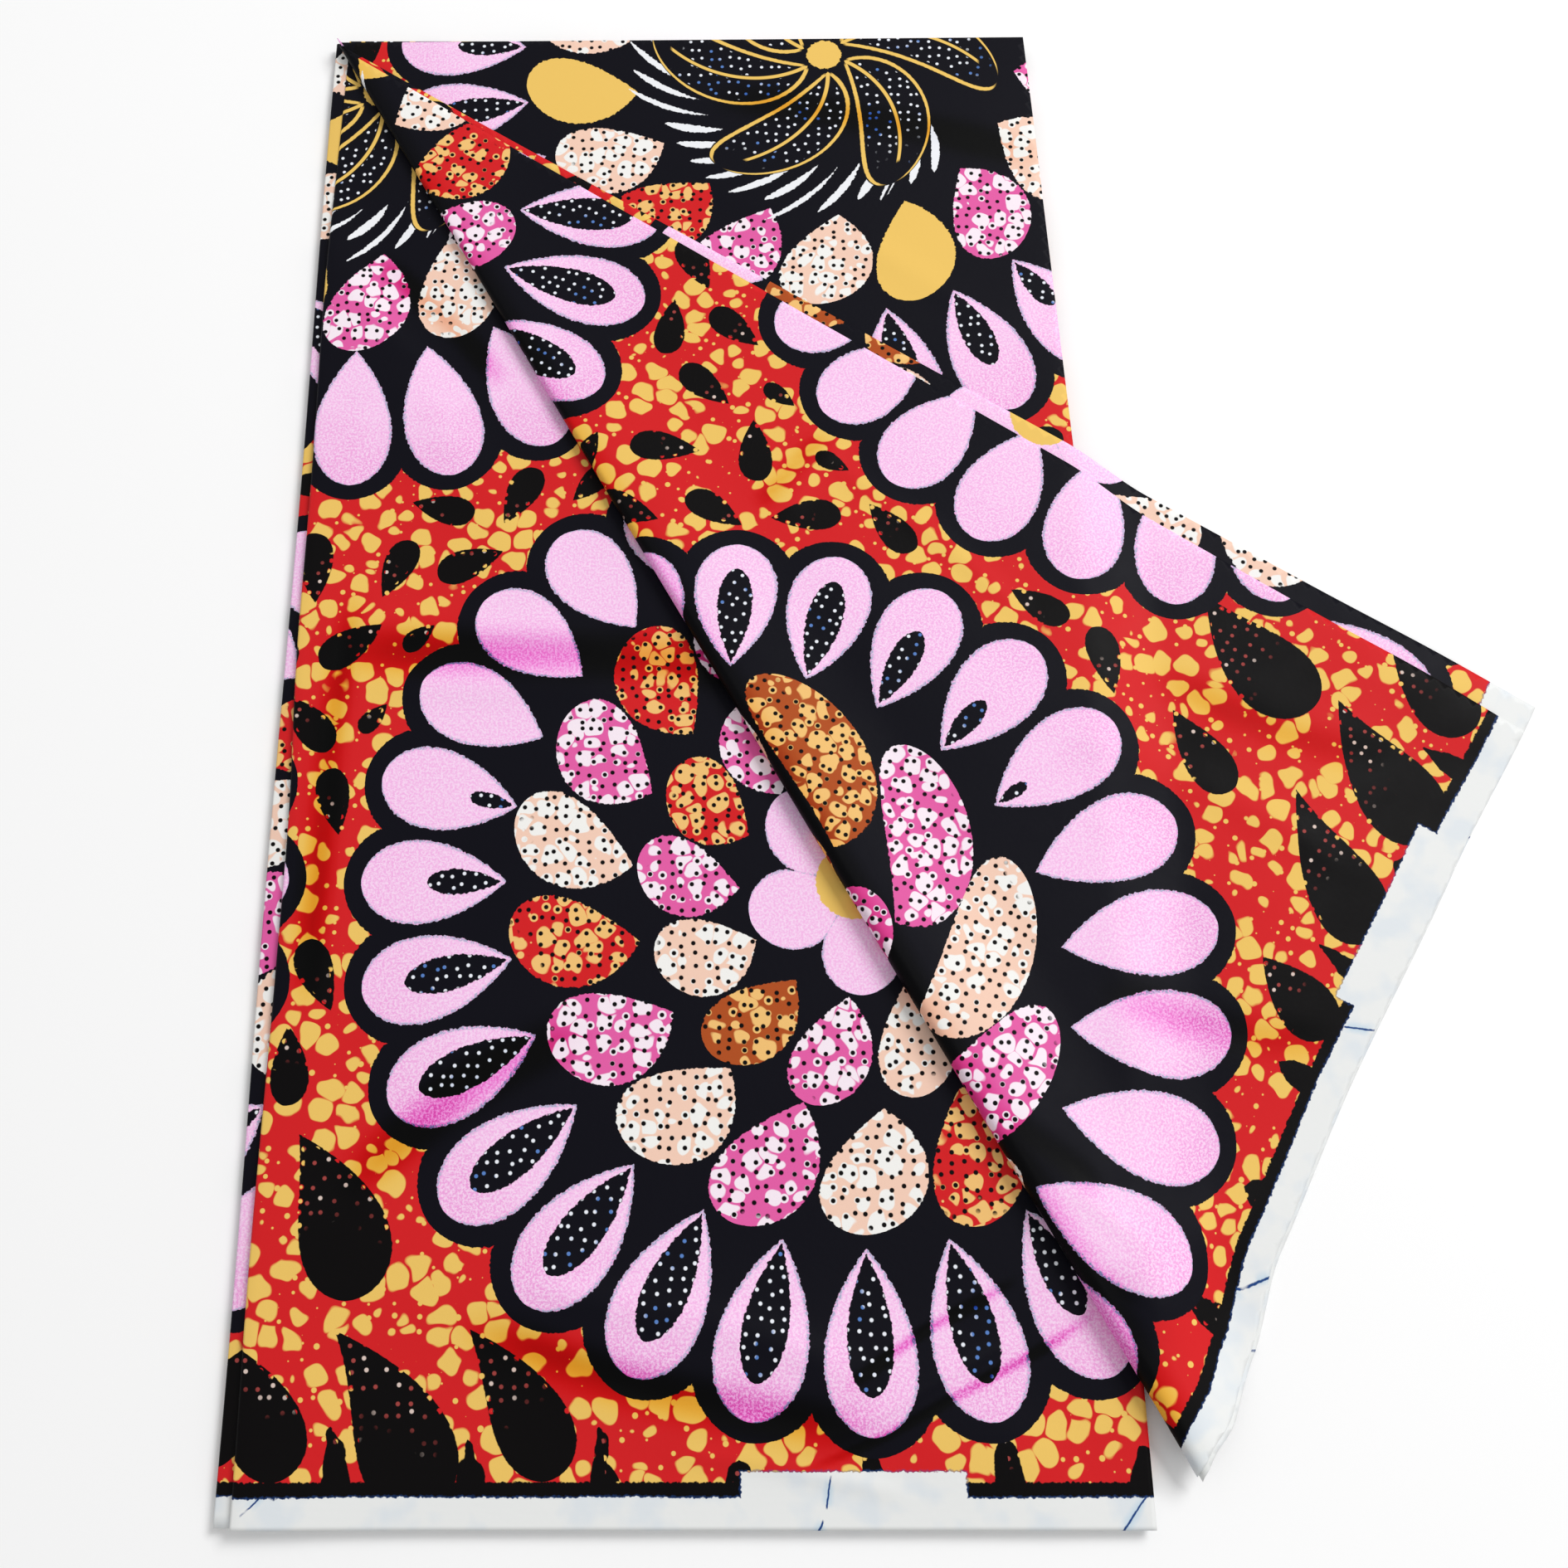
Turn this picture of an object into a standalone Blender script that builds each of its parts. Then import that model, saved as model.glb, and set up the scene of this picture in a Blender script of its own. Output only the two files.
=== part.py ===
"""A folded length of printed cotton cloth, laid flat.

A stack of straight folds lies along +Y. The two top panels are folded back
together along a diagonal crest, so that they make a wide flap to the right,
which comes down off the stack onto the surface. Metres, +Z up. The origin is
at the middle of the underside of the bounding box.
"""

import math

import bmesh
import bpy
from mathutils import Vector
from mathutils.geometry import delaunay_2d_cdt

# Driving sizes of the cloth and of the stack
CLOTH_WIDTH = 1.120
WALL = 0.0012
REST_GAP = 0.0003
LAYER_PITCH = WALL + REST_GAP

# The folded strip seen from above, measured from its own near left corner
NEAR_LEFT = Vector((0.009, 0.001))
FAR_LEFT = Vector((-0.0065, 0.001 + CLOTH_WIDTH))
NEAR_RIGHT = Vector((0.591, 0.001))
FAR_RIGHT = Vector((0.556, 0.001 + CLOTH_WIDTH))

# The diagonal crest runs from the strip's far left corner to beside its near right one
CREST_FAR = Vector((-0.005, 1.1195))
CREST_NEAR = Vector((0.618, 0.0285))

# Corners of the two folded panels, in the same measure
INNER_FLAP_CORNER = Vector((0.900, 0.542))
INNER_FAR_RIGHT = Vector((0.5565, 1.1225))
OUTER_FLAP_CORNER = Vector((0.889, 0.523))
OUTER_FAR_RIGHT = Vector((0.5545, 1.1180))
OUTER_STARTS_ALONG = 0.006
OUTER_STOPS_SHORT = 0.004

# Middle of the bounding box in that measure, which becomes the origin
LAY_CENTRE = Vector((0.44675, 0.56175))

# Heights of the middle of each wall above the surface
CORE_HEIGHT = 0.0060
LOWER_LEVEL = CORE_HEIGHT + REST_GAP + WALL / 2
LEFT_LEVEL = LOWER_LEVEL + LAYER_PITCH
OUTER_LEVEL = LEFT_LEVEL + LAYER_PITCH

# The roll along the crest is tight at the far corner and full at the near one
CREST_RADIUS_FAR = 0.0032
CREST_RADIUS_NEAR = 0.0080
CREST_SETTLES_OVER = 0.085

# The flap comes down off the right edge of the stack onto the surface
DROP_STARTS = 0.002
DROP_LENGTH = 0.062
DROP_LINES = (0.0, 0.2, 0.4, 0.6, 0.8, 1.0)
DROP_LINE_REACH = (0.020, 0.760)

# The left panel is full along its left edge, where it turns under
LEFT_EDGE_INSET = 0.0105
LEFT_EDGE_PUFF = 0.0034
LEFT_EDGE_PUFF_WIDTH = 0.070
LEFT_TURN = 0.0020
CREST_CLEARS_FROM = 0.042
CREST_CLEARS_OVER = 0.050

# The lower panel turns down over the side of the hidden folds
LOWER_TURN = 0.0015
LOWER_TURN_DROP = 0.0036

# How far the straight panels' edges stop inside the strip
LEFT_PANEL_RIGHT_SHORT = 0.0010
LOWER_PANEL_RIGHT_SHORT = 0.0020
LOWER_PANEL_END_SHORT = 0.0011

# Hidden folds, lowest first, with how far each edge stops inside the strip, in metres
PLATE_COLUMNS = ("left", "right", "near", "far")
PLATES = (
    (0.0040, 0.0010, 0.0030, 0.0020),
    (0.0065, 0.0025, 0.0015, 0.0035),
    (0.0030, 0.0012, 0.0042, 0.0012),
    (0.0052, 0.0005, 0.0022, 0.0026),
)
PLATE_OVERLAP = 0.0002
PLATE_ROUNDING = 0.0006

# Broad soft swells: middle, heading from +X, half length, half width, height
SWELL_COLUMNS = ("x", "y", "heading_deg", "half_length", "half_width", "height")
LEFT_SWELLS = (
    (0.330, 0.100, -16.0, 0.200, 0.045, 0.0045),
    (0.150, 0.330, 62.0, 0.150, 0.055, 0.0026),
    (0.120, 0.760, -52.0, 0.140, 0.045, 0.0024),
)
CROSS_SWELLS = ((0.430, 1.000, 18.0, 0.140, 0.060, 0.0024),)
FLAP_SWELLS = (
    (0.610, 0.155, 40.0, 0.080, 0.032, 0.0050),
    (0.700, 0.400, 60.0, 0.150, 0.050, 0.0045),
    (0.430, 0.600, -38.0, 0.170, 0.055, 0.0030),
    (0.820, 0.560, -30.0, 0.060, 0.035, 0.0034),
)
SWELLS_GROW_OVER = 0.030
CROSS_CLEARS_FROM = 0.012
CROSS_CLEARS_OVER = 0.045

# Seen from above the flap's selvedge bows in, with a small bulge by the crest
SELVEDGE_BOW = (
    (0.00, 0.000),
    (0.06, 0.005),
    (0.14, 0.001),
    (0.26, -0.009),
    (0.45, -0.011),
    (0.75, -0.006),
    (1.00, 0.000),
)
BOW_REACH = 0.140
BOW_CLEARS_OVER = 0.030

# Mesh stations: over the crest in shares of a quarter turn, then in metres from it
CREST_TURN = 0.0080
CREST_TURN_SHARES = (0.0, 0.28, 0.55, 0.8, 1.0)
ACROSS_STATIONS = (0.008, 0.020, 0.038, 0.062, *(0.092 + 0.034 * step for step in range(13)))
STATION_SPACING = 0.036
NEAREST_TO_LINE = 0.009
SAME_POINT = 0.0006
LEAST_AREA = 1e-8
CREST_TURN_SPACING = 0.045
LEFT_ALONG_STEPS = 28
LEFT_ACROSS = (0.0, 0.008, 0.020, 0.036, 0.056, 0.080, 0.110, *(0.15 + 0.052 * n for n in range(8)))
LOWER_ALONG_STEPS = 12
LOWER_ACROSS_STEPS = 5
TURN_STEPS = 3


def ease(share):
    """A smooth step from 0 to 1."""
    share = min(1.0, max(0.0, share))
    return share * share * (3.0 - 2.0 * share)


def between(low, high, share):
    return low + (high - low) * share


def side_x(near, far, y):
    """Where a side of the strip lies at this height up it, from its near and far corners."""
    return between(near.x, far.x, (y - near.y) / (far.y - near.y))


def left_x(y):
    return side_x(NEAR_LEFT, FAR_LEFT, y)


def right_x(y):
    return side_x(NEAR_RIGHT, FAR_RIGHT, y)


def swell_height(x, y, swells):
    """The height that a table of swells adds at a place."""
    total = 0.0
    for row in swells:
        swell = dict(zip(SWELL_COLUMNS, row))
        heading = math.radians(swell["heading_deg"])
        away_x, away_y = x - swell["x"], y - swell["y"]
        along = away_x * math.cos(heading) + away_y * math.sin(heading)
        across = away_y * math.cos(heading) - away_x * math.sin(heading)
        fade = math.exp(-((along / swell["half_length"]) ** 2))
        total += swell["height"] * fade * math.exp(-((across / swell["half_width"]) ** 2))
    return total


def edge_drop(x, y):
    """How far the cloth has come down beyond the right edge of the stack, from 0 to 1."""
    return ease((x - right_x(y) - DROP_STARTS) / DROP_LENGTH)


def bow_at(share):
    """How far the selvedge stands outside its straight line, from the table."""
    for (low, low_out), (high, high_out) in zip(SELVEDGE_BOW, SELVEDGE_BOW[1:]):
        if share <= high:
            return between(low_out, high_out, ease((share - low) / (high - low)))
    return 0.0


def from_origin(x, y, z):
    """A point of the strip's own measure, moved so that the origin is under the middle."""
    return Vector((x - LAY_CENTRE.x, y - LAY_CENTRE.y, z))


# The fold
#
# A place on a folded panel is given as (along, across): the distance along the
# crest, and the distance from it. Across is positive on the flap and negative
# on the stretch below it, and the first CREST_TURN of it is the roll itself.

CREST_ALONG = (CREST_NEAR - CREST_FAR).normalized()
CREST_ACROSS = Vector((-CREST_ALONG.y, CREST_ALONG.x))
CREST_LENGTH = (CREST_NEAR - CREST_FAR).length


def crest_radius(along):
    return between(CREST_RADIUS_FAR, CREST_RADIUS_NEAR, ease(along / CREST_LENGTH))


def on_panel(point):
    """A place seen from above as distances along and across the crest."""
    away = point - CREST_FAR
    along = away.dot(CREST_ALONG)
    return Vector((along, away.dot(CREST_ACROSS) - crest_radius(along) + CREST_TURN))


FAR_POINT = Vector((0.0, 0.0))
NEAR_POINT = Vector((CREST_LENGTH, 0.0))
INNER_FLAP = (FAR_POINT, on_panel(INNER_FLAP_CORNER), NEAR_POINT)
INNER_BELOW = (FAR_POINT, on_panel(INNER_FAR_RIGHT), NEAR_POINT)
OUTER_FAR = Vector((OUTER_STARTS_ALONG, 0.0))
OUTER_NEAR = Vector((CREST_LENGTH - OUTER_STOPS_SHORT, 0.0))
OUTER_FLAP = (OUTER_FAR, on_panel(OUTER_FLAP_CORNER), OUTER_NEAR)
OUTER_BELOW = (OUTER_FAR, on_panel(OUTER_FAR_RIGHT), OUTER_NEAR)


def selvedge_shift(along, across):
    """How far a point of the flap moves outwards with the bowed selvedge."""
    start, end = NEAR_POINT, INNER_FLAP[1]
    line = end - start
    away = Vector((along, across)) - start
    share = away.dot(line) / line.length_squared
    if not 0.0 < share < 1.0:
        return 0.0
    depth = abs(away.x * line.y - away.y * line.x) / line.length
    clear_of_crest = ease((across - CREST_TURN) / BOW_CLEARS_OVER)
    return bow_at(share) * (1.0 - ease(depth / BOW_REACH)) * clear_of_crest


def cross_clear(x, y):
    """Zero under the flap's top edge, and 1 well beyond it, where the cross panel shows."""
    line = INNER_FLAP_CORNER - CREST_FAR
    away = Vector((x, y)) - CREST_FAR
    beyond = (line.x * away.y - line.y * away.x) / line.length
    return ease((beyond - CROSS_CLEARS_FROM) / CROSS_CLEARS_OVER)


def place_on_crest(along, across, nesting):
    """Where a point of a folded panel lies. nesting is how deep the panel lies in the fold."""
    axis = crest_radius(along)
    radius = axis - nesting
    on_flap = across > 0
    inset = 0.0
    if abs(across) <= CREST_TURN:
        angle = math.pi / 2 * across / CREST_TURN
        inset = nesting * math.cos(angle)
        outward = axis * (1.0 - math.cos(angle))
        height = radius * (1.0 + math.sin(angle))
    else:
        outward = axis + abs(across) - CREST_TURN
        height = 0.0
        if on_flap:
            nested = LAYER_PITCH + 2 * (LAYER_PITCH - nesting)
            settled = ease((outward - axis) / CREST_SETTLES_OVER)
            height = between(2 * radius, nested, settled)
    place = CREST_FAR + CREST_ALONG * along + CREST_ACROSS * outward
    if on_flap:
        selvedge = INNER_FLAP_CORNER - CREST_NEAR
        outwards = Vector((selvedge.y, -selvedge.x)).normalized()
        place = place + outwards * selvedge_shift(along, across)
    full_drop = OUTER_LEVEL + 2 * LAYER_PITCH - WALL / 2
    height += OUTER_LEVEL + nesting - full_drop * edge_drop(*place)
    if on_flap:
        height += swell_height(*place, FLAP_SWELLS) * ease((outward - axis) / SWELLS_GROW_OVER)
    elif nesting:
        height += swell_height(*place, CROSS_SWELLS) * cross_clear(*place)
    return from_origin(*(place + CREST_ACROSS * inset), height)


def cloth_material(name, colour, roughness=0.8):
    material = bpy.data.materials.new(name)
    material.use_nodes = True
    shader = material.node_tree.nodes["Principled BSDF"]
    shader.inputs["Base Color"].default_value = (*colour, 1.0)
    shader.inputs["Roughness"].default_value = roughness
    shader.inputs["Metallic"].default_value = 0.0
    return material


def cloth_object(name, mesh, material, collection):
    """Makes an open surface into a cloth wall, with its own object and node name."""
    bmesh.ops.recalc_face_normals(mesh, faces=mesh.faces[:])
    data = bpy.data.meshes.new(name)
    mesh.to_mesh(data)
    mesh.free()
    data.materials.append(material)
    made = bpy.data.objects.new(name, data)
    collection.objects.link(made)
    wall = made.modifiers.new("wall", "SOLIDIFY")
    wall.thickness = WALL
    wall.offset = 0.0
    wall.use_even_offset = True
    wall.use_quality_normals = True
    return made


def inside(point, corners):
    """Whether a point lies within a triangle of corners."""
    signs = []
    for start, end in zip(corners, corners[1:] + corners[:1]):
        line, away = end - start, point - start
        signs.append(line.x * away.y - line.y * away.x > 0)
    return all(signs) or not any(signs)


def distance_to_line(point, start, end):
    line, away = end - start, point - start
    share = min(1.0, max(0.0, away.dot(line) / line.length_squared))
    return (away - line * share).length


def panel_triangles():
    """Triangles of one side of the fold, divided along every outline and drop line.

    All the folded layers share them, so that no two layers can cross.
    """
    points, chains = [], []

    def add_chain(start, end, spacing):
        steps = max(1, round((end - start).length / spacing))
        chain = [len(points) + step for step in range(steps + 1)]
        points.extend(start.lerp(end, step / steps) for step in range(steps + 1))
        chains.extend(zip(chain, chain[1:]))

    lines = []
    for corners in (INNER_FLAP, INNER_BELOW, OUTER_FLAP, OUTER_BELOW):
        lines += [(corners[0], corners[1]), (corners[1], corners[2])]
    for share in DROP_LINES:
        beyond = DROP_STARTS + DROP_LENGTH * share
        near, far = (on_panel(Vector((right_x(y) + beyond, y))) for y in DROP_LINE_REACH)
        if near.y < 0.0:
            near = near.lerp(far, -near.y / (far.y - near.y))
        lines.append((near, far))
    for start, end in lines:
        add_chain(start, end, STATION_SPACING)
    for share in CREST_TURN_SHARES:
        height = CREST_TURN * share
        add_chain(Vector((0.0, height)), Vector((CREST_LENGTH, height)), CREST_TURN_SPACING)
    for number, across in enumerate(ACROSS_STATIONS):
        along = STATION_SPACING * (0.5 + 0.5 * (number % 2))
        while along < CREST_LENGTH:
            point = Vector((along, CREST_TURN + across))
            if min(distance_to_line(point, *line) for line in lines) > NEAREST_TO_LINE:
                points.append(point)
            along += STATION_SPACING
    made = delaunay_2d_cdt(points, chains, [], 0, SAME_POINT, False)
    placed = [Vector((p.x, 0.0)) if abs(p.y) < SAME_POINT else p for p in made[0]]
    flat_out = [[placed[index] for index in triangle] for triangle in made[2]]
    whole = [abs((b - a).cross(c - a)) > 2 * LEAST_AREA for a, b, c in flat_out]
    return placed, [triangle for triangle, kept in zip(made[2], whole) if kept]


def folded_panel(name, nesting, flap, below, material, collection):
    """One of the two panels folded back along the crest."""
    points, triangles = panel_triangles()
    mesh = bmesh.new()
    for side, corners in ((1.0, flap), (-1.0, below)):
        made = {}
        for triangle in triangles:
            middle = sum((points[index] for index in triangle), Vector((0.0, 0.0))) / 3
            if not inside(middle, list(corners)):
                continue
            for index in triangle:
                if index not in made:
                    along, across = points[index]
                    made[index] = mesh.verts.new((along, side * across, 0.0))
            order = triangle if side > 0 else triangle[::-1]
            mesh.faces.new([made[index] for index in order])
    bmesh.ops.remove_doubles(mesh, verts=mesh.verts[:], dist=0.00001)
    for vertex in mesh.verts:
        vertex.co = place_on_crest(vertex.co.x, vertex.co.y, nesting)
    return cloth_object(name, mesh, material, collection)


def crest_clear(x, y):
    """Zero under the crest, and 1 well to its left, where the left panel shows."""
    left_of = -(Vector((x, y)) - CREST_FAR).dot(CREST_ACROSS)
    return ease((left_of - CREST_CLEARS_FROM) / CREST_CLEARS_OVER)


def left_panel_height(x, y):
    within = max(0.0, x - left_x(y) - LEFT_EDGE_INSET)
    puff = LEFT_EDGE_PUFF * math.exp(-((within / LEFT_EDGE_PUFF_WIDTH) ** 2))
    return LEFT_LEVEL + (puff + swell_height(x, y, LEFT_SWELLS)) * crest_clear(x, y)


def turned_panel(name, stations, place, steps, material, collection):
    """A straight panel from a grid: place gives where each station comes."""
    mesh = bmesh.new()
    across_count = len(stations) - 1
    bmesh.ops.create_grid(mesh, x_segments=steps, y_segments=across_count, size=1.0)
    for vertex in mesh.verts:
        share = (vertex.co.x + 1.0) / 2.0
        across = stations[round((vertex.co.y + 1.0) / 2.0 * across_count)]
        vertex.co = place(share, across)
    bmesh.ops.triangulate(mesh, faces=mesh.faces[:], quad_method="SHORT_EDGE")
    return cloth_object(name, mesh, material, collection)


def turn_stations(turn):
    return [-turn * (TURN_STEPS - step) / TURN_STEPS for step in range(TURN_STEPS)]


def left_panel(material, collection):
    """The panel seen on the left. Its full left edge turns down to the panel under it."""
    width = NEAR_RIGHT.x - NEAR_LEFT.x - LEFT_EDGE_INSET - LEFT_TURN
    stations = [*turn_stations(LEFT_TURN), *LEFT_ACROSS, width]

    def place(share, across):
        y = between(NEAR_LEFT.y, FAR_LEFT.y, share)
        edge = left_x(y) + LEFT_EDGE_INSET + LEFT_TURN
        if across >= 0:
            x = between(edge, right_x(y) - LEFT_PANEL_RIGHT_SHORT, across / width)
            return from_origin(x, y, left_panel_height(x, y))
        angle = math.pi / 2 * -across / LEFT_TURN
        foot = LOWER_LEVEL + WALL / 2 + 2 * REST_GAP
        top = left_panel_height(edge, y)
        x = edge - LEFT_TURN * math.sin(angle)
        return from_origin(x, y, foot + (top - foot) * math.cos(angle))

    return turned_panel("left_panel", stations, place, LEFT_ALONG_STEPS, material, collection)


def lower_panel(material, collection):
    """The panel under it, which shows as a narrow band down the left side."""
    width = NEAR_RIGHT.x - NEAR_LEFT.x - LOWER_TURN
    flat = [width * step / LOWER_ACROSS_STEPS for step in range(LOWER_ACROSS_STEPS + 1)]
    stations = [*turn_stations(LOWER_TURN), *flat]

    def place(share, across):
        y = between(NEAR_LEFT.y + LOWER_PANEL_END_SHORT, FAR_LEFT.y - LOWER_PANEL_END_SHORT, share)
        edge = left_x(y) + LOWER_TURN + WALL / 2
        if across >= 0:
            x = between(edge, right_x(y) - LOWER_PANEL_RIGHT_SHORT, across / width)
            return from_origin(x, y, LOWER_LEVEL)
        angle = math.pi / 2 * -across / LOWER_TURN
        x = edge - LOWER_TURN * math.sin(angle)
        return from_origin(x, y, LOWER_LEVEL - LOWER_TURN_DROP * (1.0 - math.cos(angle)))

    return turned_panel("lower_panel", stations, place, LOWER_ALONG_STEPS, material, collection)


def plate_mesh(row, bottom, top):
    """One hidden fold as a thin plate with rounded edges."""
    inset = dict(zip(PLATE_COLUMNS, row))
    mesh = bmesh.new()
    bmesh.ops.create_cube(mesh, size=2.0)
    for vertex in mesh.verts:
        far = vertex.co.y > 0
        y = FAR_LEFT.y - inset["far"] if far else NEAR_LEFT.y + inset["near"]
        x = right_x(y) - inset["right"] if vertex.co.x > 0 else left_x(y) + inset["left"]
        vertex.co = from_origin(x, y, top if vertex.co.z > 0 else bottom)
    bmesh.ops.bevel(
        mesh,
        geom=mesh.edges[:],
        offset=PLATE_ROUNDING,
        segments=2,
        profile=0.5,
        affect="EDGES",
        material=-1,
    )
    return mesh


def hidden_folds(material, collection, joined_folds):
    """The folds of which only the edges show: one solid, layered all round."""
    pitch = CORE_HEIGHT / len(PLATES)
    plates = []
    for number, row in enumerate(PLATES):
        bottom = pitch * number - (PLATE_OVERLAP if number else 0.0)
        mesh = plate_mesh(row, bottom, pitch * (number + 1))
        name = "hidden_folds" if number == 0 else f"fold_{number}"
        data = bpy.data.meshes.new(name)
        mesh.to_mesh(data)
        mesh.free()
        plates.append(bpy.data.objects.new(name, data))
    core = plates[0]
    core.data.materials.append(material)
    collection.objects.link(core)
    for plate in plates[1:]:
        joined_folds.objects.link(plate)
        plate.hide_render = True
        plate.display_type = "WIRE"
        joined = core.modifiers.new(plate.name, "BOOLEAN")
        joined.operation = "UNION"
        joined.object = plate
    return core


def main():
    for old in list(bpy.data.objects):
        bpy.data.objects.remove(old)
    collection = bpy.data.collections.new("folded_wax_print_cloth")
    joined_folds = bpy.data.collections.new("joined_folds")
    bpy.context.scene.collection.children.link(collection)
    bpy.context.scene.collection.children.link(joined_folds)

    hidden_folds(cloth_material("print_dark", (0.05, 0.03, 0.05)), collection, joined_folds)
    lower_panel(cloth_material("print_red", (0.45, 0.08, 0.05)), collection)
    left_panel(cloth_material("print_pink", (0.55, 0.22, 0.42)), collection)
    outer = cloth_material("print_plum", (0.28, 0.08, 0.16))
    folded_panel("outer_panel", 0.0, OUTER_FLAP, OUTER_BELOW, outer, collection)
    inner = cloth_material("print_ochre", (0.50, 0.20, 0.07))
    folded_panel("inner_panel", LAYER_PITCH, INNER_FLAP, INNER_BELOW, inner, collection)


main()
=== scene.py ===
# %% [markdown]
# # A folded length of printed cotton
#
# This script dresses one object: about six yards of wax print cotton, folded into a flat stack,
# with its two top panels turned back together along a diagonal so that they make a wide flap.
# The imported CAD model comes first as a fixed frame, because everything here is laid on its solids.

# %% Load the frame
import math

import bmesh
import bpy
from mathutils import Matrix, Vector


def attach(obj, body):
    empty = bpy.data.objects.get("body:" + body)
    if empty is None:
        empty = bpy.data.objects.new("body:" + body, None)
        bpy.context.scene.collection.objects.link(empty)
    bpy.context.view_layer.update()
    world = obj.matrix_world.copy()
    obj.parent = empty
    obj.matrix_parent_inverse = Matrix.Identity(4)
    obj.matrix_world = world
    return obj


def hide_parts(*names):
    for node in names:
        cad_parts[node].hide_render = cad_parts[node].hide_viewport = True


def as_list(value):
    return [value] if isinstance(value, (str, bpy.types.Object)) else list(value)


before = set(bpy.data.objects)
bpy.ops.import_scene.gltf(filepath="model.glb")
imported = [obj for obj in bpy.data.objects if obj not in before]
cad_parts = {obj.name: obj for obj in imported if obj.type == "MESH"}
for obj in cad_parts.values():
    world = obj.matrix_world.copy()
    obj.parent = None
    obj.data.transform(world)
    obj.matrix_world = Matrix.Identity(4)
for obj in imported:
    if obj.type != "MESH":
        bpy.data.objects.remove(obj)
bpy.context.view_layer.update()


# %% [markdown]
# ## The stack, seen from above
#
# Cloth is folded by hand, so no edge is quite parallel to another. A few corners, measured from
# the strip's own near left corner, fix every outline. The same numbers shaped the solids, so the
# cloth and the solids agree. Heights are those of the middle of each layer above the table.

# %% Corners and levels
CLOTH_WIDTH = 1.120
SHEET = 0.0007
CAD_WALL = 0.0012
REST_GAP = 0.0003
LAYER_PITCH = CAD_WALL + REST_GAP

NEAR_Y = 0.001
FAR_Y = NEAR_Y + CLOTH_WIDTH
NEAR_LEFT = Vector((0.009, NEAR_Y))
FAR_LEFT = Vector((-0.0065, FAR_Y))
NEAR_RIGHT = Vector((0.591, NEAR_Y))
FAR_RIGHT = Vector((0.556, FAR_Y))
LAY_CENTRE = Vector((0.44675, 0.56175))

STACK_HEIGHT = 0.0060
LOWER_LEVEL = STACK_HEIGHT + REST_GAP + CAD_WALL / 2
LEFT_LEVEL = LOWER_LEVEL + LAYER_PITCH
OUTER_LEVEL = LEFT_LEVEL + LAYER_PITCH


def ease(share):
    """A smooth step from 0 to 1."""
    share = min(1.0, max(0.0, share))
    return share * share * (3.0 - 2.0 * share)


def between(low, high, share):
    return low + (high - low) * share


def side_x(near, far, y):
    return between(near.x, far.x, (y - near.y) / (far.y - near.y))


def left_x(y):
    return side_x(NEAR_LEFT, FAR_LEFT, y)


def right_x(y):
    return side_x(NEAR_RIGHT, FAR_RIGHT, y)


def from_origin(x, y, z):
    """A point of the strip's own measure, moved so that the origin is under the middle."""
    return Vector((x - LAY_CENTRE.x, y - LAY_CENTRE.y, z))


print("the strip is", round(right_x(0.5) - left_x(0.5), 3), "m wide half way up")

# %% [markdown]
# ## Swells and creases
#
# Crisp cotton holds two kinds of form. Broad swells lift it a few millimetres where air is caught
# under it, and narrow creases stay from the way it was packed. Both could come from a cloth
# simulation, but a flat stack moves so little that listing them one by one is surer. Each is a row of
# a table: a swell is a long soft hump, and a crease is a line with a ridge or a trough along it.

# %% Tables of swells
# middle x and y, heading in degrees, half length, half width, height
LEFT_SWELLS = (
    (0.330, 0.100, -16.0, 0.200, 0.045, 0.0045),
    (0.150, 0.330, 62.0, 0.150, 0.055, 0.0026),
    (0.120, 0.760, -52.0, 0.140, 0.045, 0.0024),
)
CROSS_SWELLS = ((0.430, 1.000, 18.0, 0.140, 0.060, 0.0024),)
FLAP_SWELLS = (
    (0.610, 0.155, 40.0, 0.080, 0.032, 0.0050),
    (0.700, 0.400, 60.0, 0.150, 0.050, 0.0045),
    (0.430, 0.600, -38.0, 0.170, 0.055, 0.0030),
    (0.820, 0.560, -30.0, 0.060, 0.035, 0.0034),
)


def hump(distance, half_width):
    """A smooth hump: 1 in its middle, and almost 0 at twice its half width."""
    return math.exp(-((distance / half_width) ** 2))


def swell_height(x, y, swells):
    """The height that a table of swells adds at a place."""
    total = 0.0
    for middle_x, middle_y, heading_deg, half_length, half_width, height in swells:
        heading = math.radians(heading_deg)
        away_x, away_y = x - middle_x, y - middle_y
        along = away_x * math.cos(heading) + away_y * math.sin(heading)
        across = away_y * math.cos(heading) - away_x * math.sin(heading)
        total += height * hump(along, half_length) * hump(across, half_width)
    return total


print("the highest swell is", max(row[-1] for row in LEFT_SWELLS + CROSS_SWELLS + FLAP_SWELLS), "m")
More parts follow.
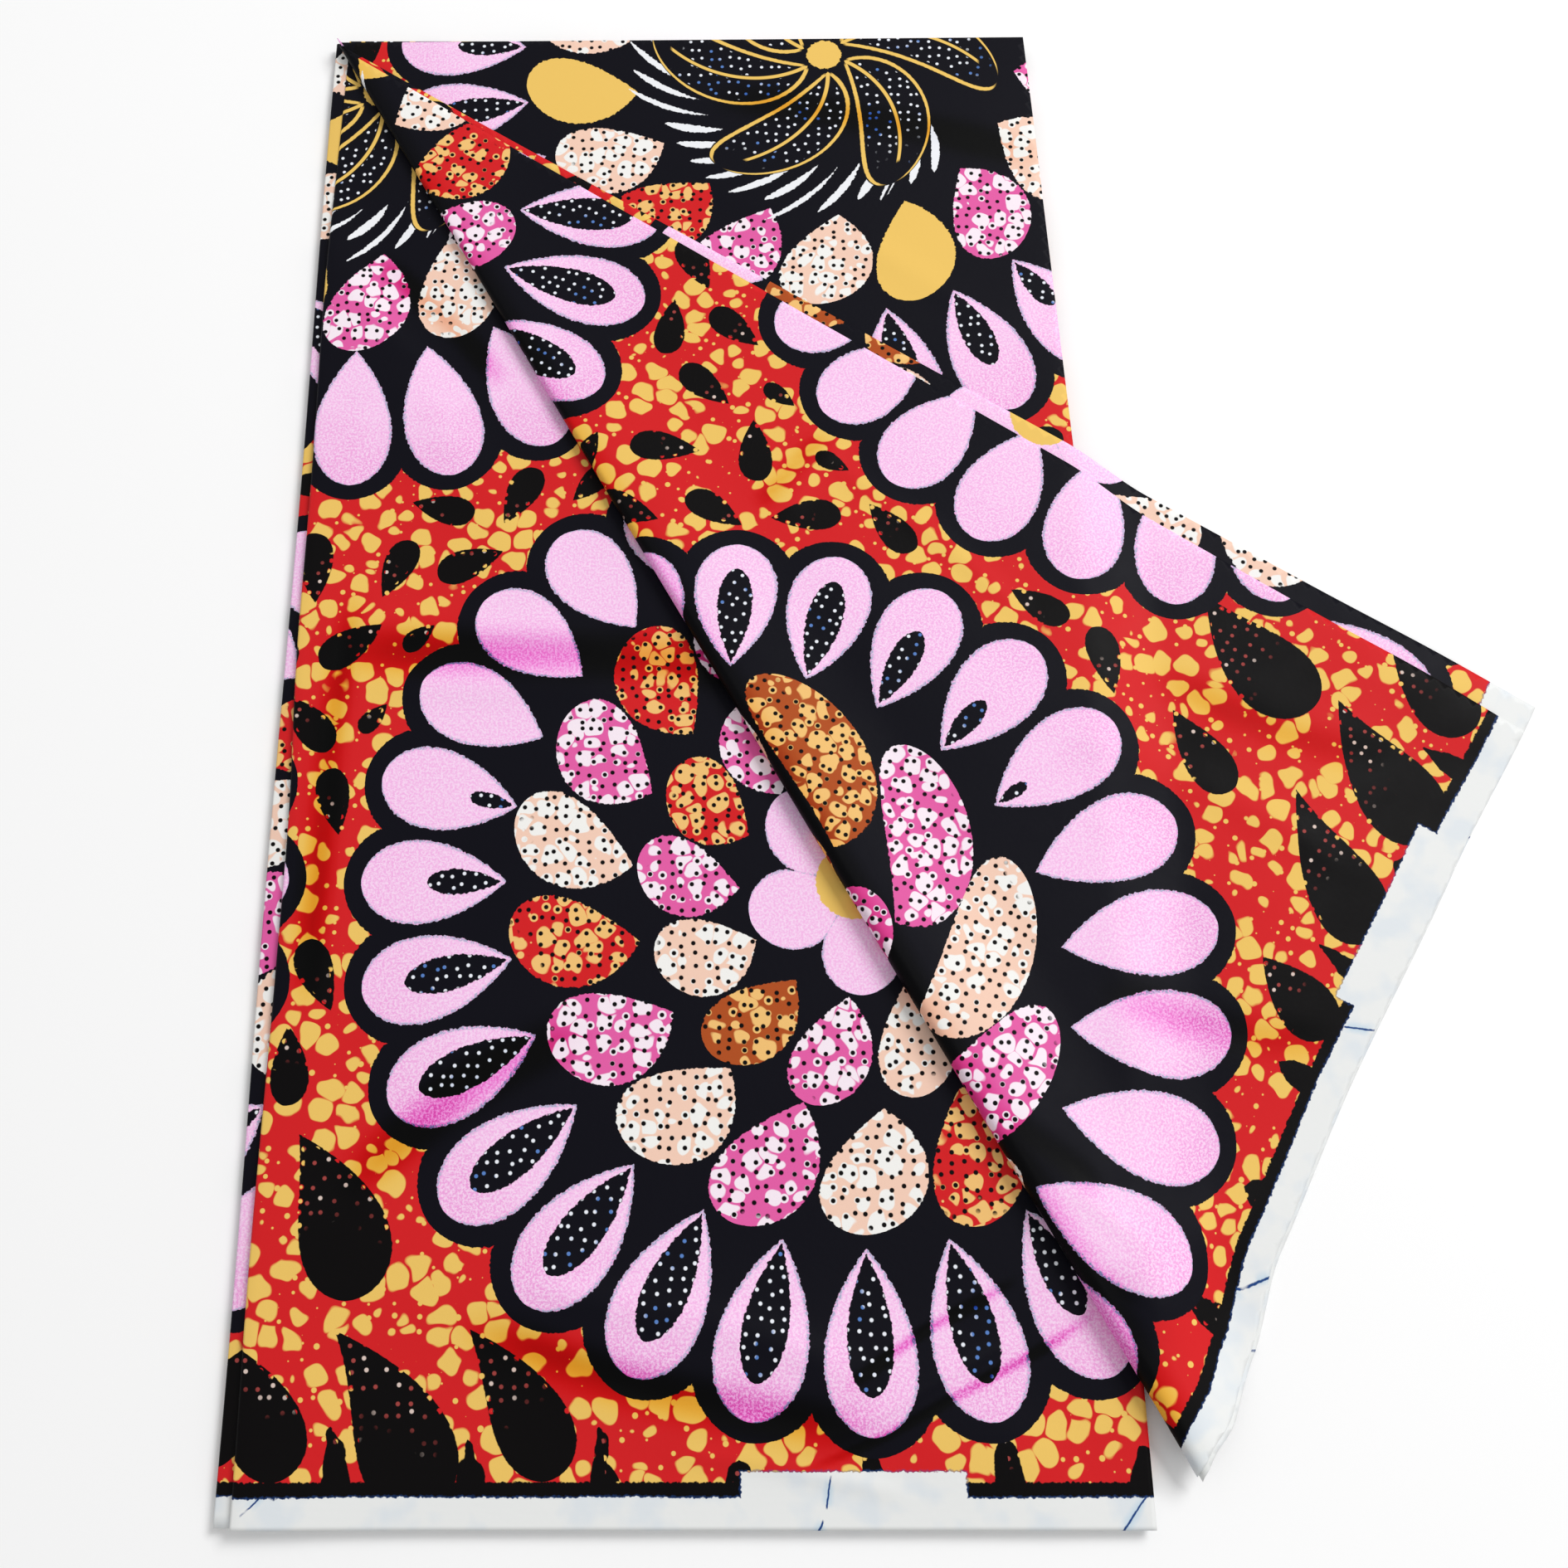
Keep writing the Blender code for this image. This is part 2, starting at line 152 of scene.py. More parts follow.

# %% [markdown]
# ## How a crease runs
#
# A crease bows to one side, wavers as it goes and fades out past both ends. A trough has raised
# shoulders, because the cloth beside a pressed line stands up. How deep a point lies in a trough
# is kept as well, as painted shade: the dyes are darkened and deepened there.

# %% Tables of creases
# start x and y, end x and y, bow to the line's left, half width, height (below 0 is a trough)
LEFT_CREASES = (
    (0.055, 0.581, 0.345, 0.570, 0.004, 0.0140, -0.0024),
    (0.060, 0.603, 0.300, 0.594, -0.003, 0.0110, 0.0018),
    (0.055, 0.556, 0.335, 0.546, 0.003, 0.0120, 0.0016),
    (0.392, 0.042, 0.548, 0.121, -0.003, 0.0026, -0.0016),
    (0.383, 0.051, 0.538, 0.130, -0.002, 0.0046, 0.0018),
    (0.409, 0.090, 0.500, 0.143, 0.002, 0.0028, -0.0013),
    (0.178, 0.112, 0.395, 0.060, -0.006, 0.0110, -0.0030),
    (0.200, 0.142, 0.400, 0.096, 0.005, 0.0120, 0.0022),
    (0.300, 0.044, 0.430, 0.022, 0.003, 0.0060, 0.0014),
    (0.040, 0.350, 0.046, 0.598, 0.003, 0.0080, -0.0016),
    (0.085, 0.215, 0.215, 0.305, 0.006, 0.0120, -0.0016),
    (0.030, 0.880, 0.110, 0.800, -0.004, 0.0080, 0.0012),
    (0.050, 0.905, 0.140, 0.812, 0.003, 0.0070, -0.0011),
)
CROSS_CREASES = (
    (0.330, 1.060, 0.545, 1.010, 0.004, 0.0110, -0.0010),
    (0.420, 0.930, 0.548, 0.840, -0.004, 0.0120, 0.0010),
)
FLAP_CREASES = (
    (0.345, 0.698, 0.388, 0.750, 0.002, 0.0065, -0.0012),
    (0.362, 0.690, 0.402, 0.744, 0.002, 0.0070, 0.0012),
    (0.395, 0.732, 0.530, 0.612, 0.005, 0.0080, 0.0014),
    (0.520, 0.175, 0.578, 0.136, 0.002, 0.0060, -0.0020),
    (0.548, 0.205, 0.600, 0.165, -0.002, 0.0070, 0.0015),
    (0.500, 0.250, 0.560, 0.205, 0.003, 0.0075, -0.0014),
    (0.585, 0.330, 0.720, 0.300, -0.006, 0.0130, -0.0017),
    (0.560, 0.520, 0.760, 0.420, 0.008, 0.0140, 0.0016),
    (0.640, 0.560, 0.780, 0.500, -0.005, 0.0120, -0.0013),
)
print(len(LEFT_CREASES) + len(CROSS_CREASES) + len(FLAP_CREASES), "creases are placed by hand")

# %% Height of the creases
FADES_OVER = 0.15
WAVER = 0.0006
SHOULDER = 0.5
SHOULDER_SPREAD = 2.5


def crease_at(x, y, creases):
    """The height that a table of creases adds at a place, and its depth in a trough, from 0 to 1."""
    total, painted_shade = 0.0, 0.0
    for start_x, start_y, end_x, end_y, bow, half_width, height in creases:
        line_x, line_y = end_x - start_x, end_y - start_y
        length = math.hypot(line_x, line_y)
        away_x, away_y = x - start_x, y - start_y
        share = (away_x * line_x + away_y * line_y) / length**2
        if not -FADES_OVER < share < 1.0 + FADES_OVER:
            continue
        across = (line_x * away_y - line_y * away_x) / length
        across -= bow * 4.0 * share * (1.0 - share)
        across -= WAVER * math.sin(9.0 * share + 40.0 * start_x)
        fade_in = ease((share + FADES_OVER) / (2 * FADES_OVER))
        fade = fade_in * ease((1.0 + FADES_OVER - share) / (2 * FADES_OVER))
        strength = 0.86 + 0.14 * math.sin(7.0 * share + 55.0 * start_y)
        profile = hump(across, half_width)
        total += height * fade * strength * profile
        # the depth in a trough is kept as painted shade, which darkens the dyes there
        if height < 0:
            total -= SHOULDER * height * fade * strength * hump(across, SHOULDER_SPREAD * half_width)
            painted_shade = max(painted_shade, fade * strength * profile)
    return total, painted_shade


def relief(x, y, swells, creases, deepest, puff=0.0):
    """What the tables add to a panel's height, never less than -deepest, and the depth in a trough."""
    creased, painted_shade = crease_at(x, y, creases)
    return max(puff + swell_height(x, y, swells) + creased, -deepest), painted_shade


print("in the left panel's trough the creases add", round(crease_at(0.25, 0.57, LEFT_CREASES)[0], 4), "m")

# %% [markdown]
# ## The diagonal fold
#
# Two panels turn back over one line, the crest. A fold is a roll, not a sharp edge: it is tight at
# the far corner and fuller at the near one. So a place on a folded panel is given as its distance
# along the crest and its distance across it, above 0 on the flap and below 0 on the stretch that
# stays under it. One function then carries both panels over the roll, so they cannot cross.

# %% Where the crest lies
CREST_FAR = Vector((-0.005, 1.1195))
CREST_NEAR = Vector((0.618, 0.0285))
INNER_FLAP_CORNER = Vector((0.900, 0.542))
INNER_FAR_RIGHT = Vector((0.5565, 1.1225))
OUTER_FLAP_CORNER = Vector((0.889, 0.523))
OUTER_FAR_RIGHT = Vector((0.5545, 1.1180))
OUTER_STARTS_ALONG = 0.006
OUTER_STOPS_SHORT = 0.004

CREST_RADIUS_FAR = 0.0032
CREST_RADIUS_NEAR = 0.0080
CREST_SETTLES_OVER = 0.085
CREST_TURN = 0.0080

CREST_ALONG = (CREST_NEAR - CREST_FAR).normalized()
CREST_ACROSS = Vector((-CREST_ALONG.y, CREST_ALONG.x))
CREST_LENGTH = (CREST_NEAR - CREST_FAR).length


def crest_radius(along):
    return between(CREST_RADIUS_FAR, CREST_RADIUS_NEAR, ease(along / CREST_LENGTH))


def on_panel(point):
    """A place seen from above as distances along and across the crest."""
    away = point - CREST_FAR
    along = away.dot(CREST_ALONG)
    return Vector((along, away.dot(CREST_ACROSS) - crest_radius(along) + CREST_TURN))


FAR_POINT = Vector((0.0, 0.0))
NEAR_POINT = Vector((CREST_LENGTH, 0.0))
FLAP_TIP = on_panel(INNER_FLAP_CORNER)
print("the crest is", round(CREST_LENGTH, 3), "m long")

# %% [markdown]
# ## How the flap lies
#
# Beyond the stack's right side the flap comes down onto the table, and its free selvedge bows in
# and out a little. Both are smooth functions of a place, so a point can be moved without knowing
# its neighbours. The other turned panel is pressed flat under the flap, and swells only where the
# flap leaves it bare.

# %% How the flap falls and bows
DROP_STARTS = 0.002
DROP_LENGTH = 0.062
CROSS_CLEARS_FROM = 0.012
CROSS_CLEARS_OVER = 0.045
SELVEDGE_BOW = (
    (0.00, 0.000),
    (0.06, 0.005),
    (0.14, 0.001),
    (0.26, -0.009),
    (0.45, -0.011),
    (0.75, -0.006),
    (1.00, 0.000),
)
BOW_REACH = 0.140
BOW_CLEARS_OVER = 0.030


def edge_drop(x, y):
    """How far the cloth has come down beyond the right edge of the stack, from 0 to 1."""
    return ease((x - right_x(y) - DROP_STARTS) / DROP_LENGTH)


def bow_at(share):
    """How far the selvedge stands outside its straight line, from the table."""
    for (low, low_out), (high, high_out) in zip(SELVEDGE_BOW, SELVEDGE_BOW[1:]):
        if share <= high:
            return between(low_out, high_out, ease((share - low) / (high - low)))
    return 0.0


def selvedge_shift(along, across):
    """How far a point of the flap moves outwards with the bowed selvedge."""
    line = FLAP_TIP - NEAR_POINT
    away = Vector((along, across)) - NEAR_POINT
    share = away.dot(line) / line.length_squared
    if not 0.0 < share < 1.0:
        return 0.0
    depth = abs(away.x * line.y - away.y * line.x) / line.length
    clear_of_crest = ease((across - CREST_TURN) / BOW_CLEARS_OVER)
    return bow_at(share) * (1.0 - ease(depth / BOW_REACH)) * clear_of_crest


def cross_clear(x, y):
    """Zero under the flap's top edge, and 1 well beyond it, where the cross panel shows."""
    line = INNER_FLAP_CORNER - CREST_FAR
    away = Vector((x, y)) - CREST_FAR
    beyond = (line.x * away.y - line.y * away.x) / line.length
    return ease((beyond - CROSS_CLEARS_FROM) / CROSS_CLEARS_OVER)


print("the selvedge bows in by up to", -min(out for _, out in SELVEDGE_BOW), "m")

# %% [markdown]
# ## Over the crest
#
# Near the crest a panel follows half a circle. Past it the upper stretch settles down onto the
# layer under it. Swells and creases are added last. Their sum has a lower limit, so no panel is
# pushed into the one that it rests on or into the table.

# %% Carry a point over the crest
SWELLS_GROW_OVER = 0.030
DEEPEST = 0.0004
FLAP_DEEPEST = 0.00025
# painted shade: how much of the flap's crease shade is kept, and how strongly the roll is darkened
FLAP_SHADE_SHARE = 0.5
ROLL_SHADE_FROM = 0.002
ROLL_SHADE_OVER = 0.020
ROLL_SHADE_FAR = 0.26
ROLL_SHADE_NEAR = 0.60
FULL_DROP = OUTER_LEVEL + 2 * LAYER_PITCH - CAD_WALL / 2
SELVEDGE_LINE = INNER_FLAP_CORNER - CREST_NEAR
SELVEDGE_OUTWARDS = Vector((SELVEDGE_LINE.y, -SELVEDGE_LINE.x)).normalized()


def over_the_roll(along, across, nesting):
    """How far out from the crest a point is, how high above its panel and how far inset."""
    axis = crest_radius(along)
    radius = axis - nesting
    if abs(across) <= CREST_TURN:
        angle = math.pi / 2 * across / CREST_TURN
        out = axis * (1.0 - math.cos(angle))
        return out, radius * (1.0 + math.sin(angle)), nesting * math.cos(angle)
    out = axis + abs(across) - CREST_TURN
    if across < 0:
        return out, 0.0, 0.0
    nested = LAYER_PITCH + 2 * (LAYER_PITCH - nesting)
    settled = ease((out - axis) / CREST_SETTLES_OVER)
    return out, between(2 * radius, nested, settled), 0.0


def place_on_crest(along, across, nesting):
    """Where a point of a folded panel lies. nesting is how deep the panel lies in the fold."""
    out, height, inset = over_the_roll(along, across, nesting)
    on_flap = across > 0
    place = CREST_FAR + CREST_ALONG * along + CREST_ACROSS * out
    if on_flap:
        place = place + SELVEDGE_OUTWARDS * selvedge_shift(along, across)
    height += OUTER_LEVEL + nesting - FULL_DROP * edge_drop(*place)
    painted_shade = 0.0
    if on_flap:
        added, painted_shade = relief(*place, FLAP_SWELLS, FLAP_CREASES, FLAP_DEEPEST)
        height += added * ease((out - crest_radius(along)) / SWELLS_GROW_OVER)
        painted_shade *= FLAP_SHADE_SHARE
    elif nesting:
        added, painted_shade = relief(*place, CROSS_SWELLS, CROSS_CREASES, DEEPEST)
        height += added * cross_clear(*place)
    # painted shade along the roll of the crest, on both sides of its line, stronger towards the near end
    roll_shade = 1.0 - ease((abs(across) - ROLL_SHADE_FROM) / ROLL_SHADE_OVER)
    painted_shade = max(painted_shade, roll_shade * between(ROLL_SHADE_FAR, ROLL_SHADE_NEAR, along / CREST_LENGTH))
    return from_origin(*(place + CREST_ACROSS * inset), height), painted_shade


print("the roll's top at the near end is", round(place_on_crest(1.25, CREST_TURN, 0.0)[0].z, 4), "m up")

# %% [markdown]
# ## The print's own measure
#
# A print runs along the flat cloth, however it is folded afterwards. So each piece gets a UV map
# in metres: u along the selvedge and v across the cloth from the near selvedge. On a folded panel
# the point is first turned back over the crest to where it lay before. Wax print goes right
# through the cotton, so the same map serves both faces.

# %% Flat places of the folded panels
CLOTH_CORNER = Vector((0.0325, 0.0466))
ALONG_SELVEDGE = Vector((0.9995, -0.0309))
ACROSS_CLOTH = Vector((0.0309, 0.9995))


def flat_place(along, across):
    """Where a point of a folded panel lies on the flat cloth, in metres."""
    turned = min(abs(across), CREST_TURN) / CREST_TURN * crest_radius(along) * math.pi / 2
    distance = turned + max(0.0, abs(across) - CREST_TURN)
    side = 1.0 if across > 0 else -1.0
    unfolded = CREST_FAR + CREST_ALONG * along - CREST_ACROSS * side * distance
    away = unfolded - CLOTH_CORNER
    return away.dot(ALONG_SELVEDGE), away.dot(ACROSS_CLOTH)


print("the flap's tip is", round(flat_place(*FLAP_TIP)[1], 3), "m from the selvedge on the flat cloth")

# %% [markdown]
# ## From a surface to cloth
#
# Every piece is made as one open surface, and turned into cloth in the same way: its faces are
# made to point up, its print map and its painted shade of creases and roll are stored, and a
# Solidify modifier gives it a thin wall. The wall comes last, so all the shaping deals with a single
# layer of points.

# %% Finish a piece of cloth
def add_object(name, data):
    """Puts a mesh, a lamp or a camera into the scene as an object."""
    made = bpy.data.objects.new(name, data)
    bpy.context.scene.collection.objects.link(made)
    return made


def add_surface(name, mesh):
    """Puts a bmesh into the scene, and frees it."""
    data = bpy.data.meshes.new(name)
    mesh.to_mesh(data)
    mesh.free()
    return add_object(name, data)


def finish_cloth(name, mesh, flat_uv, marks, thickness=SHEET):
    """Turns an open surface into a thin closed cloth, with its print map."""
    mesh.verts.index_update()
    bmesh.ops.recalc_face_normals(mesh, faces=mesh.faces[:])
    upward = sum(face.normal.z * face.calc_area() for face in mesh.faces)
    if upward < 0:
        bmesh.ops.reverse_faces(mesh, faces=mesh.faces[:])
    layer = mesh.loops.layers.uv.new("cloth")
    # painted shade of the creases and of the roll, kept per point for the shader
    painted_shade_layer = mesh.verts.layers.float.new("crease")
    for vertex in mesh.verts:
        vertex[painted_shade_layer] = marks[vertex.index]
    for face in mesh.faces:
        face.smooth = True
        for loop in face.loops:
            loop[layer].uv = flat_uv[loop.vert.index]
    made = add_surface(name, mesh)
    wall = made.modifiers.new("cloth thickness", "SOLIDIFY")
    wall.thickness = thickness
    wall.offset = 0.0
    wall.use_even_offset = False
    wall.use_quality_normals = True
    print(name, "has", len(made.data.vertices), "points")
    return made


print("a sheet is", SHEET * 1000, "mm thick")

# %% [markdown]
# ## The two folded panels
#
# Each starts as a flat grid, close-set where the roll bends it, and is cut to its outline with
# straight cuts, as cloth is. Only then is every point carried over the crest. The lower of the two
# panels comes out on top as the flap.

# %% Folded panels
GRID = 0.0052
FINE_GRID = 0.0028
ROLL_STEPS = 8
GAP_GROWTH = 1.35


def across_stations(furthest):
    """Distances from the crest, one side, closest together on the roll."""
    stations = [CREST_TURN * step / ROLL_STEPS for step in range(ROLL_STEPS + 1)]
    gap = CREST_TURN / ROLL_STEPS
    while stations[-1] < furthest:
        gap = min(GRID, gap * GAP_GROWTH)
        stations.append(stations[-1] + gap)
    return stations


def cut_outside(mesh, start, end):
    """Cuts away what lies to the left of the line from start to end."""
    line = end - start
    bmesh.ops.bisect_plane(
        mesh,
        geom=mesh.verts[:] + mesh.edges[:] + mesh.faces[:],
        dist=1e-7,
        plane_co=(start.x, start.y, 0.0),
        plane_no=(-line.y, line.x, 0.0),
        clear_outer=True,
    )


def folded_panel(name, nesting, far, flap_corner, near, below_corner, print_start):
    """One of the two panels turned back along the crest."""
    one_side = across_stations(max(flap_corner.y, below_corner.y) + GRID)
    stations = [-value for value in one_side[:0:-1]] + one_side
    columns, last = round(CREST_LENGTH / GRID), len(stations) - 1
    mesh = bmesh.new()
    bmesh.ops.create_grid(mesh, x_segments=columns, y_segments=last, size=1.0)
    for vertex in mesh.verts:
        row = round((vertex.co.y + 1.0) / 2.0 * last)
        vertex.co = (CREST_LENGTH * (vertex.co.x + 1.0) / 2.0, stations[row], 0.0)
    below = Vector((below_corner.x, -below_corner.y))
    for start, end in ((far, flap_corner), (flap_corner, near), (near, below), (below, far)):
        cut_outside(mesh, start, end)
    bmesh.ops.remove_doubles(mesh, verts=mesh.verts[:], dist=0.0002)
    flat_uv, marks = [], []
    for vertex in mesh.verts:
        along, across = vertex.co.x, vertex.co.y
        u, v = flat_place(along, across)
        flat_uv.append((u + print_start, v))
        vertex.co, painted_shade = place_on_crest(along, across, nesting)
        marks.append(painted_shade)
    return finish_cloth(name, mesh, flat_uv, marks)


# %% [markdown]
# ## Both panels, and the print's repeat
#
# Flowers stand in rows, 0.74 m apart along the selvedge. Each panel starts at its own place on
# that repeat, chosen so that one big flower lies across the crest and is broken by it.

# %% Make the flap and the cross panel
REPEAT = 0.740
FLOWER_ROW = 0.410
NEXT_ROW = 0.660
FLAP_PRINT_START = REPEAT - 0.473
CROSS_PRINT_START = REPEAT / 2 - 0.330

flap_cloth = folded_panel(
    "flap_cloth",
    0.0,
    Vector((OUTER_STARTS_ALONG, 0.0)),
    on_panel(OUTER_FLAP_CORNER),
    Vector((CREST_LENGTH - OUTER_STOPS_SHORT, 0.0)),
    on_panel(OUTER_FAR_RIGHT),
    FLAP_PRINT_START,
)
cross_cloth = folded_panel(
    "cross_cloth",
    LAYER_PITCH,
    FAR_POINT,
    FLAP_TIP,
    NEAR_POINT,
    on_panel(INNER_FAR_RIGHT),
    CROSS_PRINT_START,
)

# %% [markdown]
# ## The left panel
#
# To the left of the crest the straight top panel shows. Its left edge is a soft fold, full and
# rounded, that turns under and rests on the panel below. It is a grid as well, with close rows on
# the turn, and its edge wanders by a millimetre or two, as a hand fold does.

# %% Height of the left panel
LEFT_EDGE_INSET = 0.0105
LEFT_EDGE_PUFF = 0.0034
LEFT_EDGE_PUFF_WIDTH = 0.070
CREST_CLEARS_FROM = 0.042
CREST_CLEARS_OVER = 0.050
BULGE, BULGE_Y, BULGE_HALF = 0.0030, 0.47, 0.09


def crest_clear(x, y):
    """Zero under the crest, and 1 well to its left, where the left panel shows."""
    left_of = -(Vector((x, y)) - CREST_FAR).dot(CREST_ACROSS)
    return ease((left_of - CREST_CLEARS_FROM) / CREST_CLEARS_OVER)


def left_edge_wander(y):
    """How far the fold's edge wanders to the right of its straight line."""
    slow = 0.0016 * math.sin(5.3 * y + 0.6)
    quick = 0.0009 * math.sin(17.0 * y + 2.0)
    return slow + quick + BULGE * hump(y - BULGE_Y, BULGE_HALF)


def left_panel_height(x, y):
    """The left panel's height at a place, and how deep in a crease it is."""
    within = max(0.0, x - left_x(y) - LEFT_EDGE_INSET)
    puff = LEFT_EDGE_PUFF * hump(within, LEFT_EDGE_PUFF_WIDTH)
    lifted, painted_shade = relief(x, y, LEFT_SWELLS, LEFT_CREASES, DEEPEST, puff)
    return LEFT_LEVEL + lifted * crest_clear(x, y), painted_shade


print("half way up, the soft fold's edge wanders", round(left_edge_wander(0.5), 4), "m")

# %% Grids of the straight panels
def spaced(start, end, gap):
    """Even steps from start up to, but without, end."""
    count = round((end - start) / gap)
    return [between(start, end, step / count) for step in range(count)]


def straight_grid(shares, stations, place, print_place):
    """A panel's surface and print map. place and print_place take a share and a station."""
    mesh = bmesh.new()
    last_share, last = len(shares) - 1, len(stations) - 1
    bmesh.ops.create_grid(mesh, x_segments=last_share, y_segments=last, size=1.0)
    flat_uv, marks = [], []
    for vertex in mesh.verts:
        share = shares[round((vertex.co.x + 1.0) / 2.0 * last_share)]
        station = stations[round((vertex.co.y + 1.0) / 2.0 * last)]
        flat_uv.append(print_place(share, station))
        vertex.co, painted_shade = place(share, station)
        marks.append(painted_shade)
    return mesh, flat_uv, marks


print("a metre of the fine grid has", len(spaced(0.0, 1.0, FINE_GRID)), "rows")

# %% Left panel
LEFT_TURN = 0.0020
TURN_STEPS = 6
LEFT_PANEL_RIGHT_SHORT = 0.0010
LEFT_WIDTH = NEAR_RIGHT.x - NEAR_LEFT.x - LEFT_EDGE_INSET - LEFT_TURN
LEFT_EDGE_X = 0.0215
LEFT_PRINT_SHIFT = 0.419
FINE_BEYOND_X = 0.330
FINE_UP_TO_SHARE = 0.165


def left_cloth_place(share, across):
    y = between(NEAR_LEFT.y, FAR_LEFT.y, share)
    edge = left_x(y) + LEFT_EDGE_INSET + LEFT_TURN + left_edge_wander(y)
    if across >= 0:
        width = right_x(y) - LEFT_PANEL_RIGHT_SHORT - edge
        x = edge + width * across / LEFT_WIDTH
        height, painted_shade = left_panel_height(x, y)
        return from_origin(x, y, height), painted_shade
    angle = math.pi / 2 * -across / LEFT_TURN
    foot = LOWER_LEVEL + CAD_WALL / 2 + 2 * REST_GAP
    top, painted_shade = left_panel_height(edge, y)
    x = edge - LEFT_TURN * math.sin(angle)
    return from_origin(x, y, foot + (top - foot) * math.cos(angle)), painted_shade


def left_print_place(share, across):
    stretched = across * (2.0 if across < 0 else 1.0)
    return stretched + LEFT_EDGE_X - LEFT_PRINT_SHIFT, share * CLOTH_WIDTH


turn_rows = spaced(-LEFT_TURN, 0.0, LEFT_TURN / TURN_STEPS)
coarse_rows = spaced(0.0, FINE_BEYOND_X, GRID)
fine_rows = spaced(FINE_BEYOND_X, LEFT_WIDTH, FINE_GRID) + [LEFT_WIDTH]
fine_shares = spaced(0.0, FINE_UP_TO_SHARE, FINE_GRID / CLOTH_WIDTH)
coarse_shares = spaced(FINE_UP_TO_SHARE, 1.0, GRID / CLOTH_WIDTH) + [1.0]
left_surface = straight_grid(
    fine_shares + coarse_shares, turn_rows + coarse_rows + fine_rows, left_cloth_place, left_print_place
)
left_cloth = finish_cloth("left_cloth", *left_surface)

# %% [markdown]
# ## The panel under it
#
# Of the next panel only a band about ten millimetres wide shows, down the left side. It turns down
# over the side of the folds beneath it. Nothing else of it is seen, so its grid is coarse.

# %% Lower panel
LOWER_TURN = 0.0015
LOWER_TURN_DROP = 0.0036
LOWER_PANEL_RIGHT_SHORT = 0.0020
LOWER_PANEL_END_SHORT = 0.0011
LOWER_WIDTH = NEAR_RIGHT.x - NEAR_LEFT.x - LOWER_TURN
LOWER_GRID_ACROSS, LOWER_GRID_UP = 0.015, 0.008
LOWER_PRINT_START = 0.20
PRINT_END_SHORT = 0.001


def lower_cloth_place(share, across):
    y = between(NEAR_LEFT.y + LOWER_PANEL_END_SHORT, FAR_LEFT.y - LOWER_PANEL_END_SHORT, share)
    edge = left_x(y) + LOWER_TURN + CAD_WALL / 2 + 0.0006 * math.sin(11.0 * y)
    if across >= 0:
        x = between(edge, right_x(y) - LOWER_PANEL_RIGHT_SHORT, across / LOWER_WIDTH)
        return from_origin(x, y, LOWER_LEVEL), 0.0
    angle = math.pi / 2 * -across / LOWER_TURN
    x = edge - LOWER_TURN * math.sin(angle)
    return from_origin(x, y, LOWER_LEVEL - LOWER_TURN_DROP * (1.0 - math.cos(angle))), 0.0


def up_the_print(share):
    """How far across the flat cloth a share of a panel's length is."""
    return PRINT_END_SHORT + share * (CLOTH_WIDTH - 2 * PRINT_END_SHORT)


turn_rows = spaced(-LOWER_TURN, 0.0, LOWER_TURN / TURN_STEPS)
flat_rows = spaced(0.0, LOWER_WIDTH, LOWER_GRID_ACROSS) + [LOWER_WIDTH]
lower_surface = straight_grid(
    spaced(0.0, 1.0, LOWER_GRID_UP / CLOTH_WIDTH) + [1.0],
    turn_rows + flat_rows,
    lower_cloth_place,
    lambda share, across: (LOWER_PRINT_START - across, up_the_print(share)),
)
lower_cloth = finish_cloth("lower_cloth", *lower_surface)

# %% [markdown]
# ## The folds beneath
#
# The rest of the length lies under the top panels, folded to and fro. Only its edges show, so one
# winding strip is enough: a line that runs right, turns round, runs left and turns again is
# pushed out along the stack. Each turn stops at its own distance from the side.

# %% Section of the hidden folds
FOLD_COUNT = 6
FOLD_PITCH = STACK_HEIGHT / FOLD_COUNT
FOLD_LENGTH = 0.575
FOLD_STEPS = 12
CUT_LENGTH = 5.49
SHOWN_LENGTHS = (0.585, 0.580, 0.586, 0.586)
LAST_FOLD_STARTS = FOLD_COUNT - (CUT_LENGTH - sum(SHOWN_LENGTHS)) / FOLD_LENGTH


def fold_line():
    """Points of the strip's section: fold, share across, height, how far out, print place."""
    points, run = [], 0.0
    for fold in range(FOLD_COUNT):
        level = FOLD_PITCH * (fold + 0.5)
        starts = LAST_FOLD_STARTS if fold == 0 else 0.0
        to_right = fold % 2 == 0
        for step in range(FOLD_STEPS + 1):
            share = between(starts, 1.0, step / FOLD_STEPS)
            across = share if to_right else 1.0 - share
            points.append((fold, across, level, 0.0, run + share * FOLD_LENGTH))
        run += FOLD_LENGTH
        if fold + 1 < FOLD_COUNT:
            for step in (1, 2, 3):
                angle = math.pi * step / 4
                out = FOLD_PITCH / 2 * math.sin(angle)
                height = level + FOLD_PITCH / 2 * (1.0 - math.cos(angle))
                points.append((fold, 1.0 if to_right else 0.0, height, out, run))
    return points


print("the folds' section has", len(fold_line()), "points")

# %% Hidden folds
FOLD_SHEET = 0.0006
FOLD_ROWS = 60
FOLD_SIDE_ROOM = 0.0012
FOLD_PRINT_START = 0.13
# how far inside the strip each pair of folds stops at the sides, and each fold at the ends
LEFT_INSETS = (0.0040, 0.0062, 0.0034)
RIGHT_INSETS = (0.0012, 0.0024, 0.0010)
NEAR_INSETS = (0.0030, 0.0016, 0.0042, 0.0022, 0.0036, 0.0012)
FAR_INSETS = (0.0020, 0.0034, 0.0012, 0.0026, 0.0018, 0.0030)


